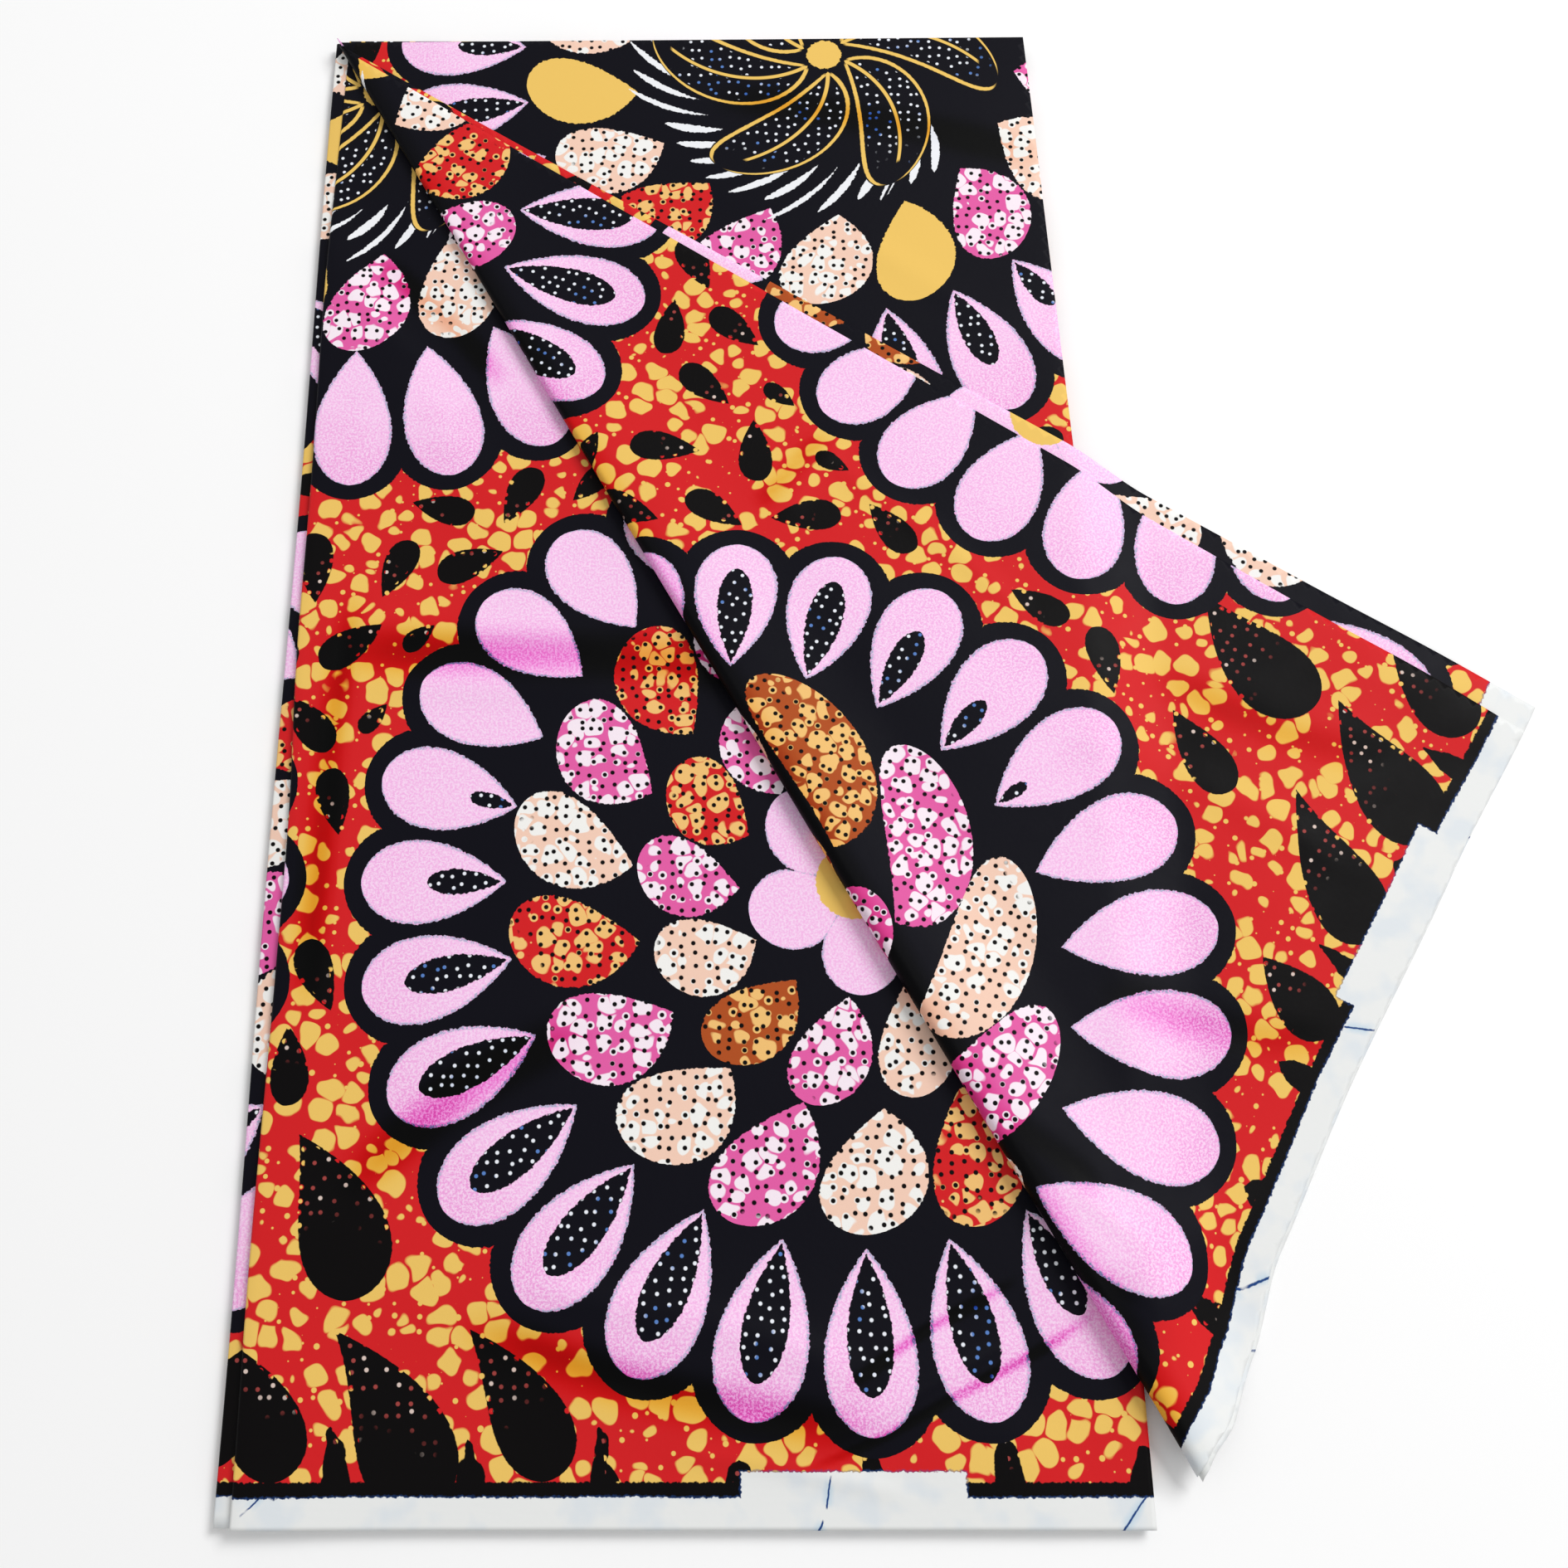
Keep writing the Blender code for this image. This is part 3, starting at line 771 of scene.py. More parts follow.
def hidden_folds_surface():
    mesh = bmesh.new()
    points = fold_line()
    last = len(points) - 1
    bmesh.ops.create_grid(mesh, x_segments=FOLD_ROWS, y_segments=last, size=1.0)
    flat_uv = []
    for vertex in mesh.verts:
        share = (vertex.co.x + 1.0) / 2.0
        fold, across, height, out, run = points[round((vertex.co.y + 1.0) / 2.0 * last)]
        y = between(NEAR_LEFT.y + NEAR_INSETS[fold], FAR_LEFT.y - FAR_INSETS[fold], share)
        wander = 0.0008 * math.sin(9.0 * y + 2.3 * fold)
        left = left_x(y) + LEFT_INSETS[fold // 2] + FOLD_SIDE_ROOM + wander
        right = right_x(y) - RIGHT_INSETS[fold // 2] - FOLD_SIDE_ROOM + wander
        x = between(left, right, across) + (out if across > 0.5 else -out)
        flat_uv.append((run + FOLD_PRINT_START, up_the_print(share)))
        vertex.co = from_origin(x, y, height)
    return mesh, flat_uv, [0.0] * len(flat_uv)


folds_cloth = finish_cloth("folds_cloth", *hidden_folds_surface(), FOLD_SHEET)

# %% [markdown]
# ## Arithmetic in the shader
#
# The print is drawn by shader nodes, from the cloth's own u and v. Wiring hundreds of Math nodes
# by hand hides what they do, so a small class stands for a number that varies over the cloth:
# adding or dividing two of them adds the node that does it. The rest of the print then reads like
# plain arithmetic.

# %% A number that varies over the cloth
wax_print = bpy.data.materials.new("wax_print_cotton")
wax_print.use_nodes = True
NODES, LINKS = wax_print.node_tree.nodes, wax_print.node_tree.links


def wire(value, socket):
    """Gives a socket a plain number or colour, or a link from another node."""
    if isinstance(value, Amount):
        value = value.socket
    if isinstance(value, bpy.types.NodeSocket):
        LINKS.new(value, socket)
    else:
        socket.default_value = value


def new_node(kind, inputs, **settings):
    """A node with its settings, and then a value or a link for each of the inputs."""
    node = NODES.new("ShaderNode" + kind)
    for name, value in settings.items():
        setattr(node, name, value)
    for name, value in inputs.items():
        wire(value, node.inputs[name])
    return node


def maths(operation, *values):
    node = new_node("Math", dict(enumerate(values)), operation=operation)
    return Amount(node.outputs[0])


def both_ways(operation):
    """What Python calls for a sign: one method with the Amount before it, one with it after."""
    return (
        lambda self, other: maths(operation, self, other),
        lambda self, other: maths(operation, other, self),
    )


class Amount:
    """A number at each point of the cloth, held as a node's output."""

    __add__, __radd__ = both_ways("ADD")
    __sub__, __rsub__ = both_ways("SUBTRACT")
    __mul__, __rmul__ = both_ways("MULTIPLY")
    __truediv__, __rtruediv__ = both_ways("DIVIDE")
    __pow__, __rpow__ = both_ways("POWER")
    __lt__ = both_ways("LESS_THAN")[0]
    __gt__ = both_ways("GREATER_THAN")[0]

    def __init__(self, socket):
        self.socket = socket


def tell(step):
    print("with", step, "the print has", len(NODES), "nodes")


tell("only what every material has")

# %% Words for the arithmetic
def size_of(amount):
    return maths("ABSOLUTE", amount)


def least(first, second):
    return maths("MINIMUM", first, second)


def most(first, second):
    return maths("MAXIMUM", first, second)


def wrapped(amount, width):
    """The amount, brought into the range from minus half to plus half of a width."""
    return maths("WRAP", amount, width / 2, -width / 2)


def cover(inside, soft=0.0005):
    """1 where a distance inside an edge is above 0, and 0 outside, with a soft edge."""
    sockets = {"Value": inside, "From Min": -soft / 2, "From Max": soft / 2}
    return Amount(new_node("MapRange", sockets).outputs["Result"])


def blend(first, second, share):
    """A number between two others."""
    if isinstance(first, Amount):
        return first + (second - first) * share
    return share * (second - first) + first


def rgba(colour):
    """A dye's three numbers with the fourth that a socket needs. A link stays as it is."""
    return (*colour, 1.0) if isinstance(colour, tuple) else colour


def paint(under, colour, mask):
    """Lays a colour over another where the mask is 1."""
    node = new_node("Mix", {0: mask, 6: rgba(under), 7: rgba(colour)}, data_type="RGBA")
    return node.outputs[2]


# %% [markdown]
# ## Blender's own patterns
#
# Four of Blender's nodes do what plain arithmetic can't: cells for bubbles and dots, noise for
# grain, white noise for chance numbers, and a stepped ramp that picks a dye. Cells and noise read
# the print map, so their pattern lies in the cloth and turns over the fold with it.

# %% Spots, veins and grain
uv_node = new_node("UVMap", {}, uv_map="cloth")
CLOTH_PLACE = uv_node.outputs["UV"]


def cells(size, feature="F1", randomness=1.0, place=CLOTH_PLACE):
    """A texture of cells of about this size in metres."""
    sockets = {"Scale": 1.0 / size, "Randomness": randomness, "Vector": place}
    return new_node("TexVoronoi", sockets, voronoi_dimensions="2D", feature=feature)


def noise(size, detail=2.0, roughness=0.5, place=CLOTH_PLACE):
    """A cloudy texture with clouds of this size in metres."""
    sockets = {"Scale": 1.0 / size, "Detail": detail, "Roughness": roughness, "Vector": place}
    return new_node("TexNoise", sockets, noise_dimensions="2D")


def grain(*settings, **others):
    """A cloudy number, about 0.5 on average."""
    return Amount(noise(*settings, **others).outputs[0])


def three_parts(socket):
    """The three numbers that a colour or a place is made of."""
    return [Amount(output) for output in new_node("SeparateXYZ", {0: socket}).outputs]


def chances(number):
    """Three numbers from 0 to 1 that are the same for the whole of one motif."""
    node = new_node("TexWhiteNoise", {"W": number}, noise_dimensions="1D")
    return three_parts(node.outputs["Color"])


def choice(amount, rows):
    """One of several colours, by a number from 0 to 1: rows are (where it starts, colour)."""
    node = new_node("ValToRGB", {0: amount})
    ramp = node.color_ramp
    ramp.interpolation = "CONSTANT"
    for index, (start, colour) in enumerate(rows):
        stop = ramp.elements[index] if index < 2 else ramp.elements.new(start)
        stop.position = start
        stop.color = rgba(colour)
    return node.outputs[0]


u, v, _ = three_parts(CLOTH_PLACE)
tell("its map")

# %% [markdown]
# ## The colours of the print
#
# Wax print is dyed in few colours, each strong: a near black, a pale pink, a magenta, a peach, a
# red, an ochre, a brown and the white of the cotton. They are kept as linear numbers, which
# Blender's shaders work in.

# %% Dyes
INK = (0.0030, 0.0028, 0.0066)
DROP_BLACK = (0.0020, 0.0014, 0.0016)
PINK = (0.93, 0.50, 0.82)
# the colour of the painted shade on the ends of the lower petals
PAINTED_SHADE_PINK = (0.80, 0.20, 0.60)
PALE_PINK = (0.98, 0.78, 0.95)
RIM_GREY = (0.42, 0.42, 0.60)
SELVEDGE_WHITE = (0.82, 0.83, 0.82)
MAGENTA = (0.77, 0.115, 0.38)
PEACH = (0.90, 0.61, 0.48)
RED = (0.65, 0.015, 0.018)
OCHRE = (0.85, 0.55, 0.130)
BROWN = (0.43, 0.080, 0.016)
STRAW = (0.88, 0.53, 0.18)
BLUSH = (0.94, 0.82, 0.90)
COTTON = (0.90, 0.89, 0.86)
INDIGO = (0.015, 0.06, 0.22)
print("the ground is red", RED, "with ochre", OCHRE)

# %% [markdown]
# ## Ragged edges
#
# No edge of a wax print is quite clean, because the wax cracks and the dye creeps under it. A fine
# noise, added to every distance, frays the edges. A slower one moves the places where the bubbles
# are looked up, so their cells lose their straight sides.

# %% Ragged edges
RAGGED = 0.0026
DRIFT_SIZE, DRIFT = 0.012, 0.0060

rag = (grain(0.0030, 1.0, 0.6) - 0.5) * RAGGED
patches = grain(0.030)
drift = noise(DRIFT_SIZE, 0.0)
drifted = new_node(
    "VectorMath",
    {0: drift.outputs["Color"], 1: (DRIFT, DRIFT, 0.0), 2: CLOTH_PLACE},
    operation="MULTIPLY_ADD",
)
WARPED_PLACE = drifted.outputs[0]
tell("ragged edges")

# %% [markdown]
# ## The flowers' lattice
#
# Big round flowers stand in rows, and each second row is shifted by half a repeat. A point belongs
# to the nearer of two flowers, one of each row, and takes its distance and its angle from that
# flower's middle. Flowers of odd columns have curved, larger drops, so that neighbours differ.
# This comes before the marks of the wax, because those are larger on the ground than in a flower.

# %% Nearest flower
IN_FLOWER = 0.24


def two_flowers(place_u, place_v):
    """The nearest flower of each row: how far across, how far up and the square of the distance."""
    for row in (0, 1):
        across = wrapped(place_u - REPEAT / 2 if row else place_u, REPEAT)
        up = place_v - FLOWER_ROW - NEXT_ROW if row else place_v - FLOWER_ROW
        yield across, up, across * across + up * up


def nearer_flower(place_u, place_v):
    """How far the nearer flower's middle is, the direction from it, and 1 in the second row."""
    (across_a, up_a, far_a), (across_b, up_b, far_b) = two_flowers(place_u, place_v)
    second = far_b < far_a
    outward = maths("ARCTAN2", blend(up_a, up_b, second), blend(across_a, across_b, second))
    return least(far_a, far_b) ** 0.5, outward, second


radius, outward, second_row = nearer_flower(u, v)
angle = outward / math.tau
first_row = 1.0 - second_row
column = maths("FLOOR", u / REPEAT + 0.5 - second_row * 0.5)
odd_column = maths("FLOORED_MODULO", column, 2.0)
in_flower = radius < IN_FLOWER
tell("a lattice of flowers")

# %% [markdown]
# ## Marks of the wax
#
# The dyed cloth is marked by wax that bubbled and cracked: pale bubbles that crowd together with
# fine veins between them. Two cell textures of one size give them, one with the distance to the
# nearest cell's middle and one with the distance to the next nearest. Where these are almost
# equal, a vein runs. A third, more regular one gives the round dots.

# %% Bubbles
BUBBLE_ON_GROUND = 0.0175
BUBBLE_IN_DROP = 0.0140
WIDEST_BUBBLE = 0.52

nearest = cells(1.0, place=WARPED_PLACE)
next_nearest = cells(1.0, "F2", place=WARPED_PLACE)
bubble_scale = blend(1.0 / BUBBLE_ON_GROUND, 1.0 / BUBBLE_IN_DROP, in_flower)
for texture in (nearest, next_nearest):
    wire(bubble_scale, texture.inputs["Scale"])
own_size, _, _ = three_parts(nearest.outputs["Color"])
to_middle = Amount(nearest.outputs["Distance"])
crowd = grain(0.034, 1.0, place=nearest.outputs["Position"]) - 0.5
bubble_reach = crowd * 1.7 + own_size * 0.44 + blend(0.20, 0.27, in_flower)
to_vein = (Amount(next_nearest.outputs["Distance"]) - to_middle) * 0.5 + (patches - 0.60) * 0.40
inside_bubble = maths("SMOOTH_MIN", to_vein, least(bubble_reach, WIDEST_BUBBLE) - to_middle, 0.26)
bubbles = cover(inside_bubble, 0.05)
tell("bubbles")

# %% Dots
DOT_SPACING = 0.0081
dot_cells = cells(DOT_SPACING, "F1", 0.52)
dot_distance = Amount(dot_cells.outputs["Distance"]) * DOT_SPACING
dot_size, dot_dye_pick, dot_kept = three_parts(dot_cells.outputs["Color"])


def dots(diameter):
    """1 inside a round dot."""
    return cover(diameter / 2 - dot_distance)


black_dots = dots(0.0032)
pale_dots = dots(0.0025)
ground_drips = dots((dot_size - 0.62) * 0.0105)
halos = dots((dot_size - 0.50) * 0.0135)
tell("dots")

# %% [markdown]
# ## One drop
#
# Almost every motif is a drop: pointed at one end and round at the other. Its half width follows a
# short formula of how far along it a point is, and what is left after taking away the distance
# from its middle line says how deep inside the drop the point lies. That one number gives the
# drop, its outline and its ragged rim.

# %% Drop shape
TIP_POWER, ROUND_POWER, WIDTH_SCALE = 0.9, 0.5, 1.245
FRAYED_OFF = 0.003


def drop(reach, sideways, width):
    """How far inside a drop a point is, in metres. reach is 0 at the tip and 1 at the round end."""
    held = least(most(reach, 0.0), 1.0)
    half = (width + FRAYED_OFF) * WIDTH_SCALE * held**TIP_POWER * (1.0 - held) ** ROUND_POWER
    return half - size_of(sideways) + rag - FRAYED_OFF / 2


def bitten(inside, reach):
    """Takes round dots out of the edge of a drop's pointed half."""
    bite = most(dot_distance - 0.0017, inside - 0.0030)
    return least(inside, most(bite, reach * 0.02 - 0.012))


print("a drop is widest", round(TIP_POWER / (TIP_POWER + ROUND_POWER), 2), "of the way from its tip")

# %% [markdown]
# ## The ground
#
# Between the flowers the cloth is red, crowded with ochre bubbles, and curved black drops are
# strewn over it. They are laid like bricks, one to a brick: small ones that curl round the nearest
# flower, and beside the selvedge two courses of large ones that stand up. Those courses are bent
# before the drops are laid in them, so neighbours curve together and none is cut. Chance numbers
# give each drop its tilt and its length. Near a flower a drop is shorter, a small one is also
# moved off the flower's rim, and one that would be too short is left out.

# %% Bricks for the strewn drops
BORDER = 0.256
SMALL_BRICK = 0.060
BORDER_BRICK, BORDER_COURSE = 0.084, 0.125
COURSE_BEND = 0.058


def brick_at(border):
    """The brick that a point lies in: the bent u, the brick's own number and its middle."""
    width = blend(SMALL_BRICK, BORDER_BRICK, border)
    height = blend(SMALL_BRICK, BORDER_COURSE, border)
    risen = (v - BORDER) / height
    course = maths("FLOOR", risen)
    bent_u = u + (risen - course) ** 3.0 * COURSE_BEND * border
    shifted = bent_u / width + course * 0.5
    number = maths("FLOOR", shifted)
    middle_u = (number - shifted + 0.5) * width + bent_u
    return bent_u, number + course * 57.0, middle_u, (course + 0.5) * height + BORDER


border = v < BORDER
bent_u, brick_number, middle_u, middle_v = brick_at(border)
tilt, size, lift = chances(brick_number)
way = lift > 0.5
lift = lift * 0.036
tell("bricks")

# %% Strewn drops
FLOWER_REACH = 0.346
RIM_TO_SPARE = 0.012
ROOM = 0.016
FURTHEST_PUSH = 0.012
SHORTEST = 0.024
UPRIGHT = 1.62

distance, outward = nearer_flower(middle_u, middle_v)[:2]
outward_u, outward_v = maths("COSINE", outward), maths("SINE", outward)
clear = distance - FLOWER_REACH - (1.0 - outward_v) * RIM_TO_SPARE
push = least(most(ROOM - clear, 0.0), FURTHEST_PUSH) * (1.0 - border)
clear = clear + push
away_u = bent_u - middle_u - outward_u * push
away_v = v - middle_v - outward_v * push
heading = blend(outward + (way + 0.5) * math.pi, UPRIGHT, border) + (tilt - 0.5) * blend(0.4, 0.2, border)
cosine, sine = maths("COSINE", heading), maths("SINE", heading)

longest = blend(size * 0.010 + 0.046, size * 0.014 + 0.110 - lift, border)
length = least(longest, clear * blend(3.7, 3.0, border))
too_short = length < SHORTEST
length = most(length, SHORTEST)
foot = blend(length * 0.5, BORDER_COURSE / 2 - lift, border)
strewn_reach = 1.0 - (away_u * cosine + away_v * sine + foot) / length
bend = blend(0.30 - way * 0.60, 0.0, border)
sideways = away_v * cosine - away_u * sine - ((1.0 - strewn_reach) ** 2.0 - 0.3) * length * bend
strewn = drop(strewn_reach, sideways, length * blend(0.51, 0.57, border)) - too_short
tell("strewn drops")

# %% Paint the ground
spike_reach = 1.0 - (v - 0.004) / (patches * 0.060 + 0.020)
spike = drop(spike_reach, wrapped(bent_u, BORDER_BRICK), 0.020) - (v > BORDER / 2)
strewn = bitten(most(strewn, spike) - rag * 0.6, strewn_reach)

colour = paint(RED, OCHRE, most(bubbles, ground_drips))
colour = paint(colour, DROP_BLACK, cover(strewn))
near_tip = cover(0.47 - strewn_reach + (patches - 0.5) * 0.5, 0.20)
tip_dots = dots(0.0027) * cover(strewn - 0.0004) * near_tip
tip_dye = paint((0.34, 0.055, 0.050), (0.70, 0.56, 0.50), dot_dye_pick > 0.66)
colour = paint(colour, tip_dye, tip_dots * (dot_kept > 0.30))
tell("the ground")

# %% [markdown]
# ## Rings of drops
#
# A ring of drops needs no copies. The whole turn is divided by the count, and what is left over
# says how far sideways of a drop's middle line a point is. A swirl lets the drops lean, and a
# chance number makes one longer and slimmer than the next.

# %% Rings of drops
def drop_ring(count, tip, length, width, swirl=0.0, phase=0.0, uneven=0.0):
    """A ring of drops, tips inwards: how far inside one, its number, reach and distance sideways."""
    turned = (angle + phase + (radius - tip) * swirl) * count
    number = maths("FLOOR", turned + 0.5)
    sideways = (turned - number) * radius * math.tau / count
    number = maths("FLOORED_MODULO", number, count)
    if uneven:
        own, _, _ = chances(number + column * 17.0 + 5.3)
        length = length * (1.0 - uneven + own * (2.0 * uneven))
        width = width * (1.0 + uneven - own * (2.0 * uneven))
    reach = (radius - tip) / length
    return drop(reach, sideways, width), number, reach, sideways


def toward(number, count, direction):
    """From -1 to 1: how nearly a drop of a ring points in a direction, in turns."""
    return maths("COSINE", (number / count - direction) * math.tau)


# %% [markdown]
# ## Outer petals
#
# Twenty eight pink petals ring each flower on a near black disc with a scalloped rim. On one side
# of the flower the petals hold a dark eye full of white dots, which shrinks round the ring until
# it is gone. The pink is grainy and its rim is pale, where the resist crept under the dye.

# %% Petals on their disc
PETALS = 28
PETAL_TIP = 0.242
RIM_TIP = 0.228
DISC_RADIUS = 0.279

petal_numbers = maths("FLOOR", angle * PETALS + 0.5)
bottom = toward(petal_numbers, PETALS, -0.25)
petal_length = (bottom + 1.0) * 0.012 + 0.091
petal, _, petal_reach, petal_side = drop_ring(PETALS, PETAL_TIP, petal_length, 0.060)
rim = drop((radius - RIM_TIP) / (petal_length + 0.026), petal_side, 0.090)
colour = paint(colour, INK, cover(most(rim, DISC_RADIUS - radius)))

pink_grain = grain(0.0017, 1.0, 0.8)
# painted shade: the outer ends of the petals on each flower's lower side are deepened towards magenta, in
# patches
lower_petal_shade = cover(bottom - 0.10, 1.2) * cover(petal_reach - 0.66 + (patches - 0.5) * 0.6, 0.5)
pink = paint(PINK, PAINTED_SHADE_PINK, lower_petal_shade * 0.45)
pink = paint(pink, PALE_PINK, cover(pink_grain - 0.51, 0.30) * 0.72)


def paint_pink(under, inside, rim_width, there=1.0):
    """Paints a pink drop, with the grey line that runs just inside its edge."""
    under = paint(under, pink, cover(inside) * there)
    edge = cover(inside, 0.0006) * cover(rim_width - inside, 0.0014) * there
    return paint(under, RIM_GREY, edge * cover(pink_grain - 0.46, 0.12))


colour = paint_pink(colour, petal, 0.0017)
tell("outer petals")

# %% Dark eyes of the petals
EYE_TIP = 0.2440

facing = toward(petal_numbers, PETALS, blend(-0.33, 0.35, odd_column))
eye_share = least(most((facing + 0.10) * 0.92, 0.0), 0.78)
eye_length = petal_length * eye_share + 0.0001
eye = drop((radius - EYE_TIP) / eye_length, petal_side, eye_length * 0.33)
eye_mask = cover(eye) * cover(eye_share - 0.16, 0.02)
colour = paint(colour, INK, eye_mask)
dot_dye = paint((0.84, 0.87, 0.93), (0.10, 0.22, 0.55), cover(patches - 0.60, 0.06))
colour = paint(colour, dot_dye, eye_mask * pale_dots * cover(eye - 0.0004))
tell("their eyes")

# %% [markdown]
# ## Dotted drops
#
# Inside the petals stand rings of drops in four pairs of dyes, with wax bubbles in the paler dye
# of each pair and round black dots over both. Some dots have a pale halo, and they thin out
# towards the round end. From one drop to the next the choice of a pair moves on by a fixed step,
# so neighbours seldom match.

# %% Dotted drops of the middle rings
PAIRS = (
    (0.00, MAGENTA, BLUSH),
    (0.36, PEACH, COTTON),
    (0.70, RED, STRAW),
    (0.88, BROWN, STRAW),
)
PLAIN_OCHRE_FROM = 0.84
PAIR_STEP = 0.382


def dotted(pick):
    """The dyes of a dotted drop: a ground and bubbles in it."""
    ground = choice(pick, [(start, ground) for start, ground, _ in PAIRS])
    bubble = choice(pick, [(start, bubble) for start, _, bubble in PAIRS])
    return paint(ground, bubble, most(bubbles, halos))


def paint_dotted_ring(under, ring, number, reach, start, there=1.0):
    """Paints a ring of dotted drops over what is there."""
    moved_on = number * PAIR_STEP + column * 0.21 + second_row * 0.13 + start
    pick = maths("FLOORED_MODULO", moved_on, 1.0)
    fewer = cover(patches * 0.7 + 0.60 - reach, 0.06)
    inner = paint(dotted(pick), DROP_BLACK, black_dots * fewer)
    inner = paint(inner, OCHRE, (pick > PLAIN_OCHRE_FROM) * second_row)
    return paint(under, inner, cover(ring) * there)


curved = odd_column * first_row
ring_two, number_two, reach_two, _ = drop_ring(
    blend(18.0, 13.0, curved),
    blend(0.154, 0.138, curved),
    blend(0.085, 0.101, curved),
    blend(0.068, 0.092, curved),
    blend(0.20, 0.72, curved),
    0.012,
    0.05,
)
colour = paint_dotted_ring(colour, ring_two, number_two, reach_two, 0.05)
ring_three, number_three, reach_three, _ = drop_ring(
    blend(13.0, 11.0, curved),
    0.079,
    blend(0.073, 0.058, curved),
    blend(0.056, 0.060, curved),
    0.3,
    0.03,
    0.05,
)
colour = paint_dotted_ring(colour, ring_three, number_three, reach_three, 0.45, first_row)
tell("dotted drops")

# %% [markdown]
# ## Hearts of the flowers
#
# A flower of the first row has a heart of five pink petals. One of the second row opens into dark
# leaves with gold outlines and ribs, dotted with white, and a fan of thin white strokes between
# leaves and drops. They are the same drop, with other numbers.

# %% Hearts of the flowers
STROKES = 40
GOLD_LINE = 0.0017
RIB_LINE = 0.0016

heart = drop_ring(5, 0.010, 0.068, 0.060, 0.3, 0.02, 0.04)[0]
colour = paint_pink(colour, heart, 0.0014, first_row)

leaf, _, leaf_reach, leaf_side = drop_ring(6, 0.016, 0.124, 0.066, 1.1, 0.05, 0.06)
leaf = leaf - rag * 0.7
leaf_dots = pale_dots * cover(leaf - 0.0045) * cover(size_of(leaf_side) - 0.0030)
leaf_dots = leaf_dots * cover(patches * 0.6 + 0.50 - leaf_reach, 0.1)
colour = paint(colour, dot_dye, leaf_dots * second_row)
gold_edge = cover(GOLD_LINE - size_of(leaf)) * cover(0.985 - leaf_reach, 0.02)
gold_edge = gold_edge * cover(leaf_reach - 0.03, 0.02)
gold_rib = cover(RIB_LINE - size_of(leaf_side)) * cover(leaf) * cover(0.86 - leaf_reach, 0.02)
colour = paint(colour, OCHRE, most(gold_edge, gold_rib) * second_row)

stroke, stroke_number, _, _ = drop_ring(STROKES, 0.106, 0.050, 0.0075, 1.1, 0.0, 0.25)
fan = cover(toward(stroke_number, STROKES, 0.72) - 0.35, 0.1) * cover(-0.0030 - leaf)
colour = paint(colour, (0.86, 0.87, 0.90), cover(stroke) * fan * second_row)
colour = paint(colour, OCHRE, cover(blend(0.026, 0.014, second_row) - radius + rag))
tell("hearts")

# %% [markdown]
# ## The selvedge
#
# The near edge of the cloth is undyed, with a black band beside it. In places a bare white label
# box interrupts the band. A few thin blue lines show where wax cracked, and two rows of pinholes
# remain from the frame that held the cloth.

# %% Selvedge
BAND_EDGE = 0.0275
BOX_SPACING, BOX_HALF_LENGTH, BOX_TOP = 0.47, 0.0700, 0.0335
CRACK_SPACING = 0.190
PIN_SPACING, PIN_ROWS = 0.006, (0.0395, 0.0455)

slow_cloud = grain(0.110, 1.0)
to_crack = size_of(wrapped(u - v * 0.9 + slow_cloud * 0.08 + rag * 0.4, CRACK_SPACING))
white = paint(SELVEDGE_WHITE, (0.74, 0.78, 0.81), cover(patches - 0.58, 0.2))
white = paint(white, (0.40, 0.60, 0.76), cover(0.0040 - to_crack, 0.006) * cover(patches - 0.52, 0.1) * 0.5)
white = paint(white, INDIGO, cover(0.0009 - to_crack, 0.0006) * cover(patches - 0.46, 0.04))

pin_u = size_of(wrapped(u, PIN_SPACING))
pin_v = least(*(size_of(v - row) for row in PIN_ROWS))
pins = cover(0.0007 - (pin_u * pin_u + pin_v * pin_v) ** 0.5, 0.0004)
colour = paint(colour, MAGENTA, pins * cover(petal) * 0.6)
colour = paint(colour, DROP_BLACK, cover(BAND_EDGE - v + rag))
box = least(BOX_HALF_LENGTH - size_of(wrapped(u + 0.014, BOX_SPACING)), BOX_TOP - v)
edge_of_white = most(0.0172 + slow_cloud * 0.0030 - v, box) + rag
colour = paint(colour, INDIGO, cover(edge_of_white + 0.0009, 0.0012) * 0.6)
colour = paint(colour, white, cover(edge_of_white))
tell("the selvedge")

# %% [markdown]
# ## The cotton's surface
#
# Good wax print is crisp and slightly glazed, so light slides along the folds. Shade is painted
# into the creases and along the roll: how deep each point lies in a crease or on the roll is kept
# as an attribute of the mesh, and a Gamma node darkens and deepens the dyes there, most in the pink
# petals, and leaves black and white alone. The gloss is low, and a fine weave and some slubs are
# in the bump.

# %% Weave and gloss
THREAD_SCALE = 600.0


def thread_wave(direction):
    """Ridges of thread, half a millimetre apart."""
    sockets = {"Scale": THREAD_SCALE, "Vector": CLOTH_PLACE}
    wave = new_node("TexWave", sockets, wave_type="BANDS", bands_direction=direction)
    return Amount(wave.outputs["Fac"])


# painted shade: the crease and roll attribute darkens and saturates the print, most on the pink petals
painted_crease_shade = Amount(new_node("Attribute", {}, attribute_name="crease").outputs["Fac"])
shade_gamma = painted_crease_shade * blend(1.0, 2.3, cover(petal)) + 1.0
shaded_print = new_node("Gamma", {"Color": colour, "Gamma": shade_gamma})
weave = thread_wave("X") * thread_wave("Y")
height = weave * 0.5 + grain(0.0035, 0.0) * 0.5
bump = new_node("Bump", {"Strength": 0.25, "Distance": 0.0003, "Height": height})

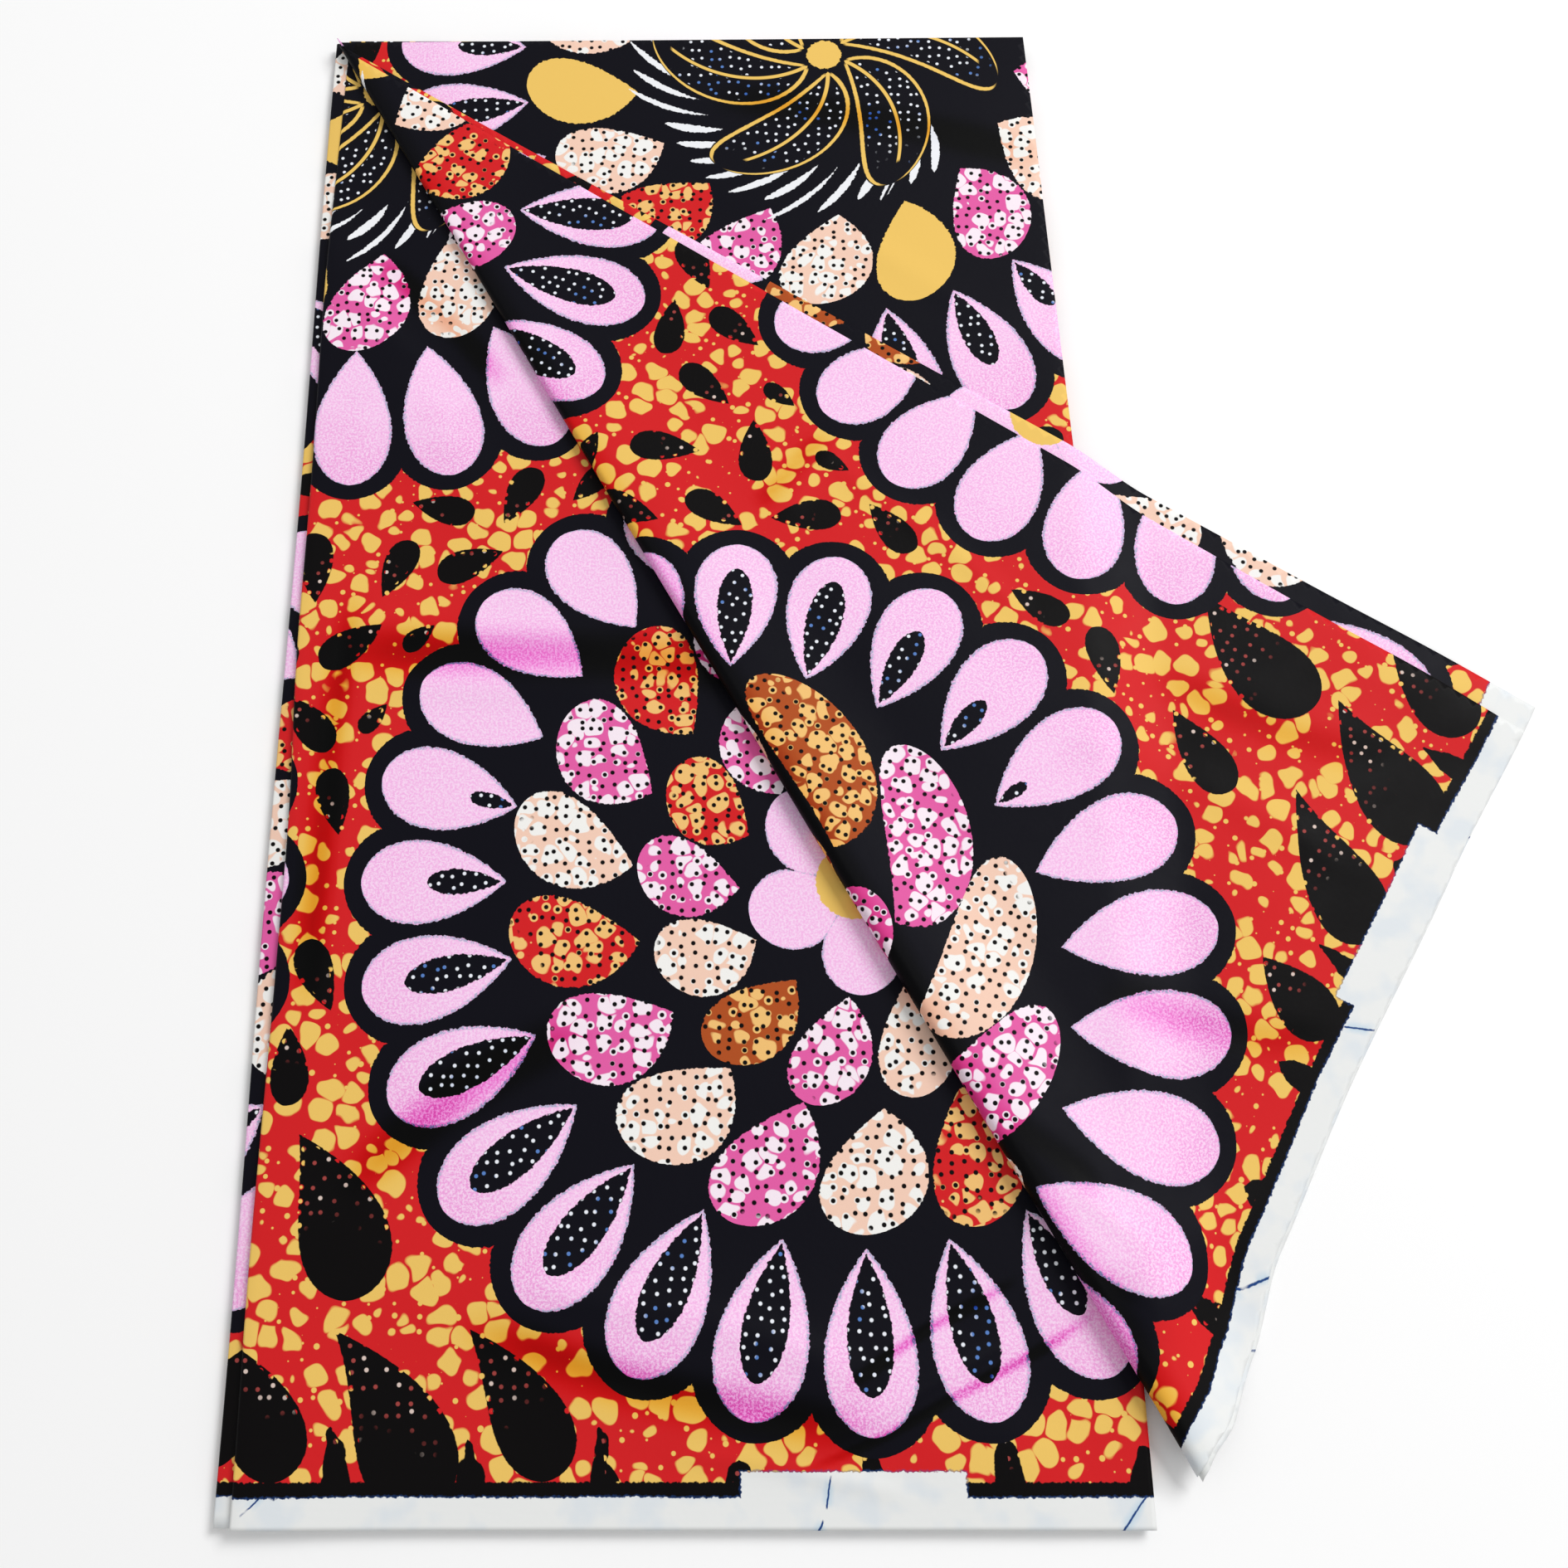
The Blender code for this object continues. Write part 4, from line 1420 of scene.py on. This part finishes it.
shader = NODES["Principled BSDF"]
for socket_name, value in {
    "Normal": bump.outputs["Normal"],
    "Base Color": shaded_print.outputs["Color"],
    "Roughness": patches * 0.14 + 0.42,
    "Sheen Weight": 0.010,
    "Sheen Roughness": 0.35,
    "Specular IOR Level": 0.08,
}.items():
    wire(value, shader.inputs[socket_name])
tell("a weave")

# %% [markdown]
# ## A white floor
#
# The photograph was taken on plain white, which a large square of paper white stands for. It is
# only a stage for the picture and isn't part of the object.

# %% White floor
FLOOR_SIZE = 6.0

floor_mesh = bmesh.new()
bmesh.ops.create_grid(floor_mesh, x_segments=1, y_segments=1, size=FLOOR_SIZE)
floor = add_surface("floor", floor_mesh)
paper = bpy.data.materials.new("white_paper_floor")
paper.use_nodes = True
paper_shader = paper.node_tree.nodes["Principled BSDF"]
paper_shader.inputs["Base Color"].default_value = (0.98, 0.98, 0.98, 1.0)
paper_shader.inputs["Roughness"].default_value = 0.9
floor.data.materials.append(paper)
print("the floor reaches", FLOOR_SIZE, "m to each side")

# %% [markdown]
# ## The pieces on the frame
#
# Each cloth stands for one of the imported solids and moves with the object's only body, and the
# length it had when flat is printed: together the five make up the whole cut. The last entry says
# what the cloth rests on.

# %% Put the pieces on the frame
PIECES = (
    (folds_cloth, "hidden_folds", "print_dark", CUT_LENGTH - sum(SHOWN_LENGTHS), ["floor"]),
    (lower_cloth, "lower_panel", "print_red", SHOWN_LENGTHS[0], ["folds_cloth"]),
    (left_cloth, "left_panel", "print_pink", SHOWN_LENGTHS[1], ["lower_cloth"]),
    (flap_cloth, "outer_panel", "print_plum", SHOWN_LENGTHS[2], ["cross_cloth"]),
    (cross_cloth, "inner_panel", "print_ochre", SHOWN_LENGTHS[3], ["left_cloth", "floor"]),
)

for piece, node, slot, length, under in PIECES:
    piece.data.materials.append(wax_print)
    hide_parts(node)
    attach(piece, "root")
    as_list(under)
    print(piece.name, "is cut", round(length, 3), "m long")

# %% [markdown]
# ## Light and camera
#
# The photograph has even studio light. A white world gives the evenness, and one large soft lamp,
# half way up the sky beyond the far right corner, shades the left side of the roll and picks out
# the creases. The camera looks steeply down, as the photographer did.

# %% Light
world = bpy.data.worlds.new("soft_white_room")
world.use_nodes = True
background = world.node_tree.nodes["Background"]
background.inputs["Color"].default_value = (1.0, 1.0, 1.0, 1.0)
background.inputs["Strength"].default_value = 0.56
scene = bpy.context.scene
scene.world = world

lamp_data = bpy.data.lights.new("window_lamp", "AREA")
lamp_data.shape = "RECTANGLE"
lamp_data.size = 3.0
lamp_data.size_y = 2.6
lamp_data.energy = 255.0
lamp = add_object("window_lamp", lamp_data)
lamp.location = (3.4, 2.6, 4.4)
lamp.rotation_euler = (-lamp.location).to_track_quat("-Z", "Y").to_euler()
print("the lamp is", round(lamp.location.length, 2), "m away")

# %% Camera
TILT_FROM_ABOVE_DEG = 17.778

camera_data = bpy.data.cameras.new("camera")
camera_data.lens = 38.095
camera_data.sensor_width = 36.0
camera = add_object("camera", camera_data)
camera.location = (-0.08566, -0.43539, 1.11771)
camera.rotation_euler = (math.radians(TILT_FROM_ABOVE_DEG), 0.0, 0.0)
scene.camera = camera
scene.view_settings.view_transform = "Standard"
print("the camera looks down at", round(90.0 - TILT_FROM_ABOVE_DEG), "degrees")
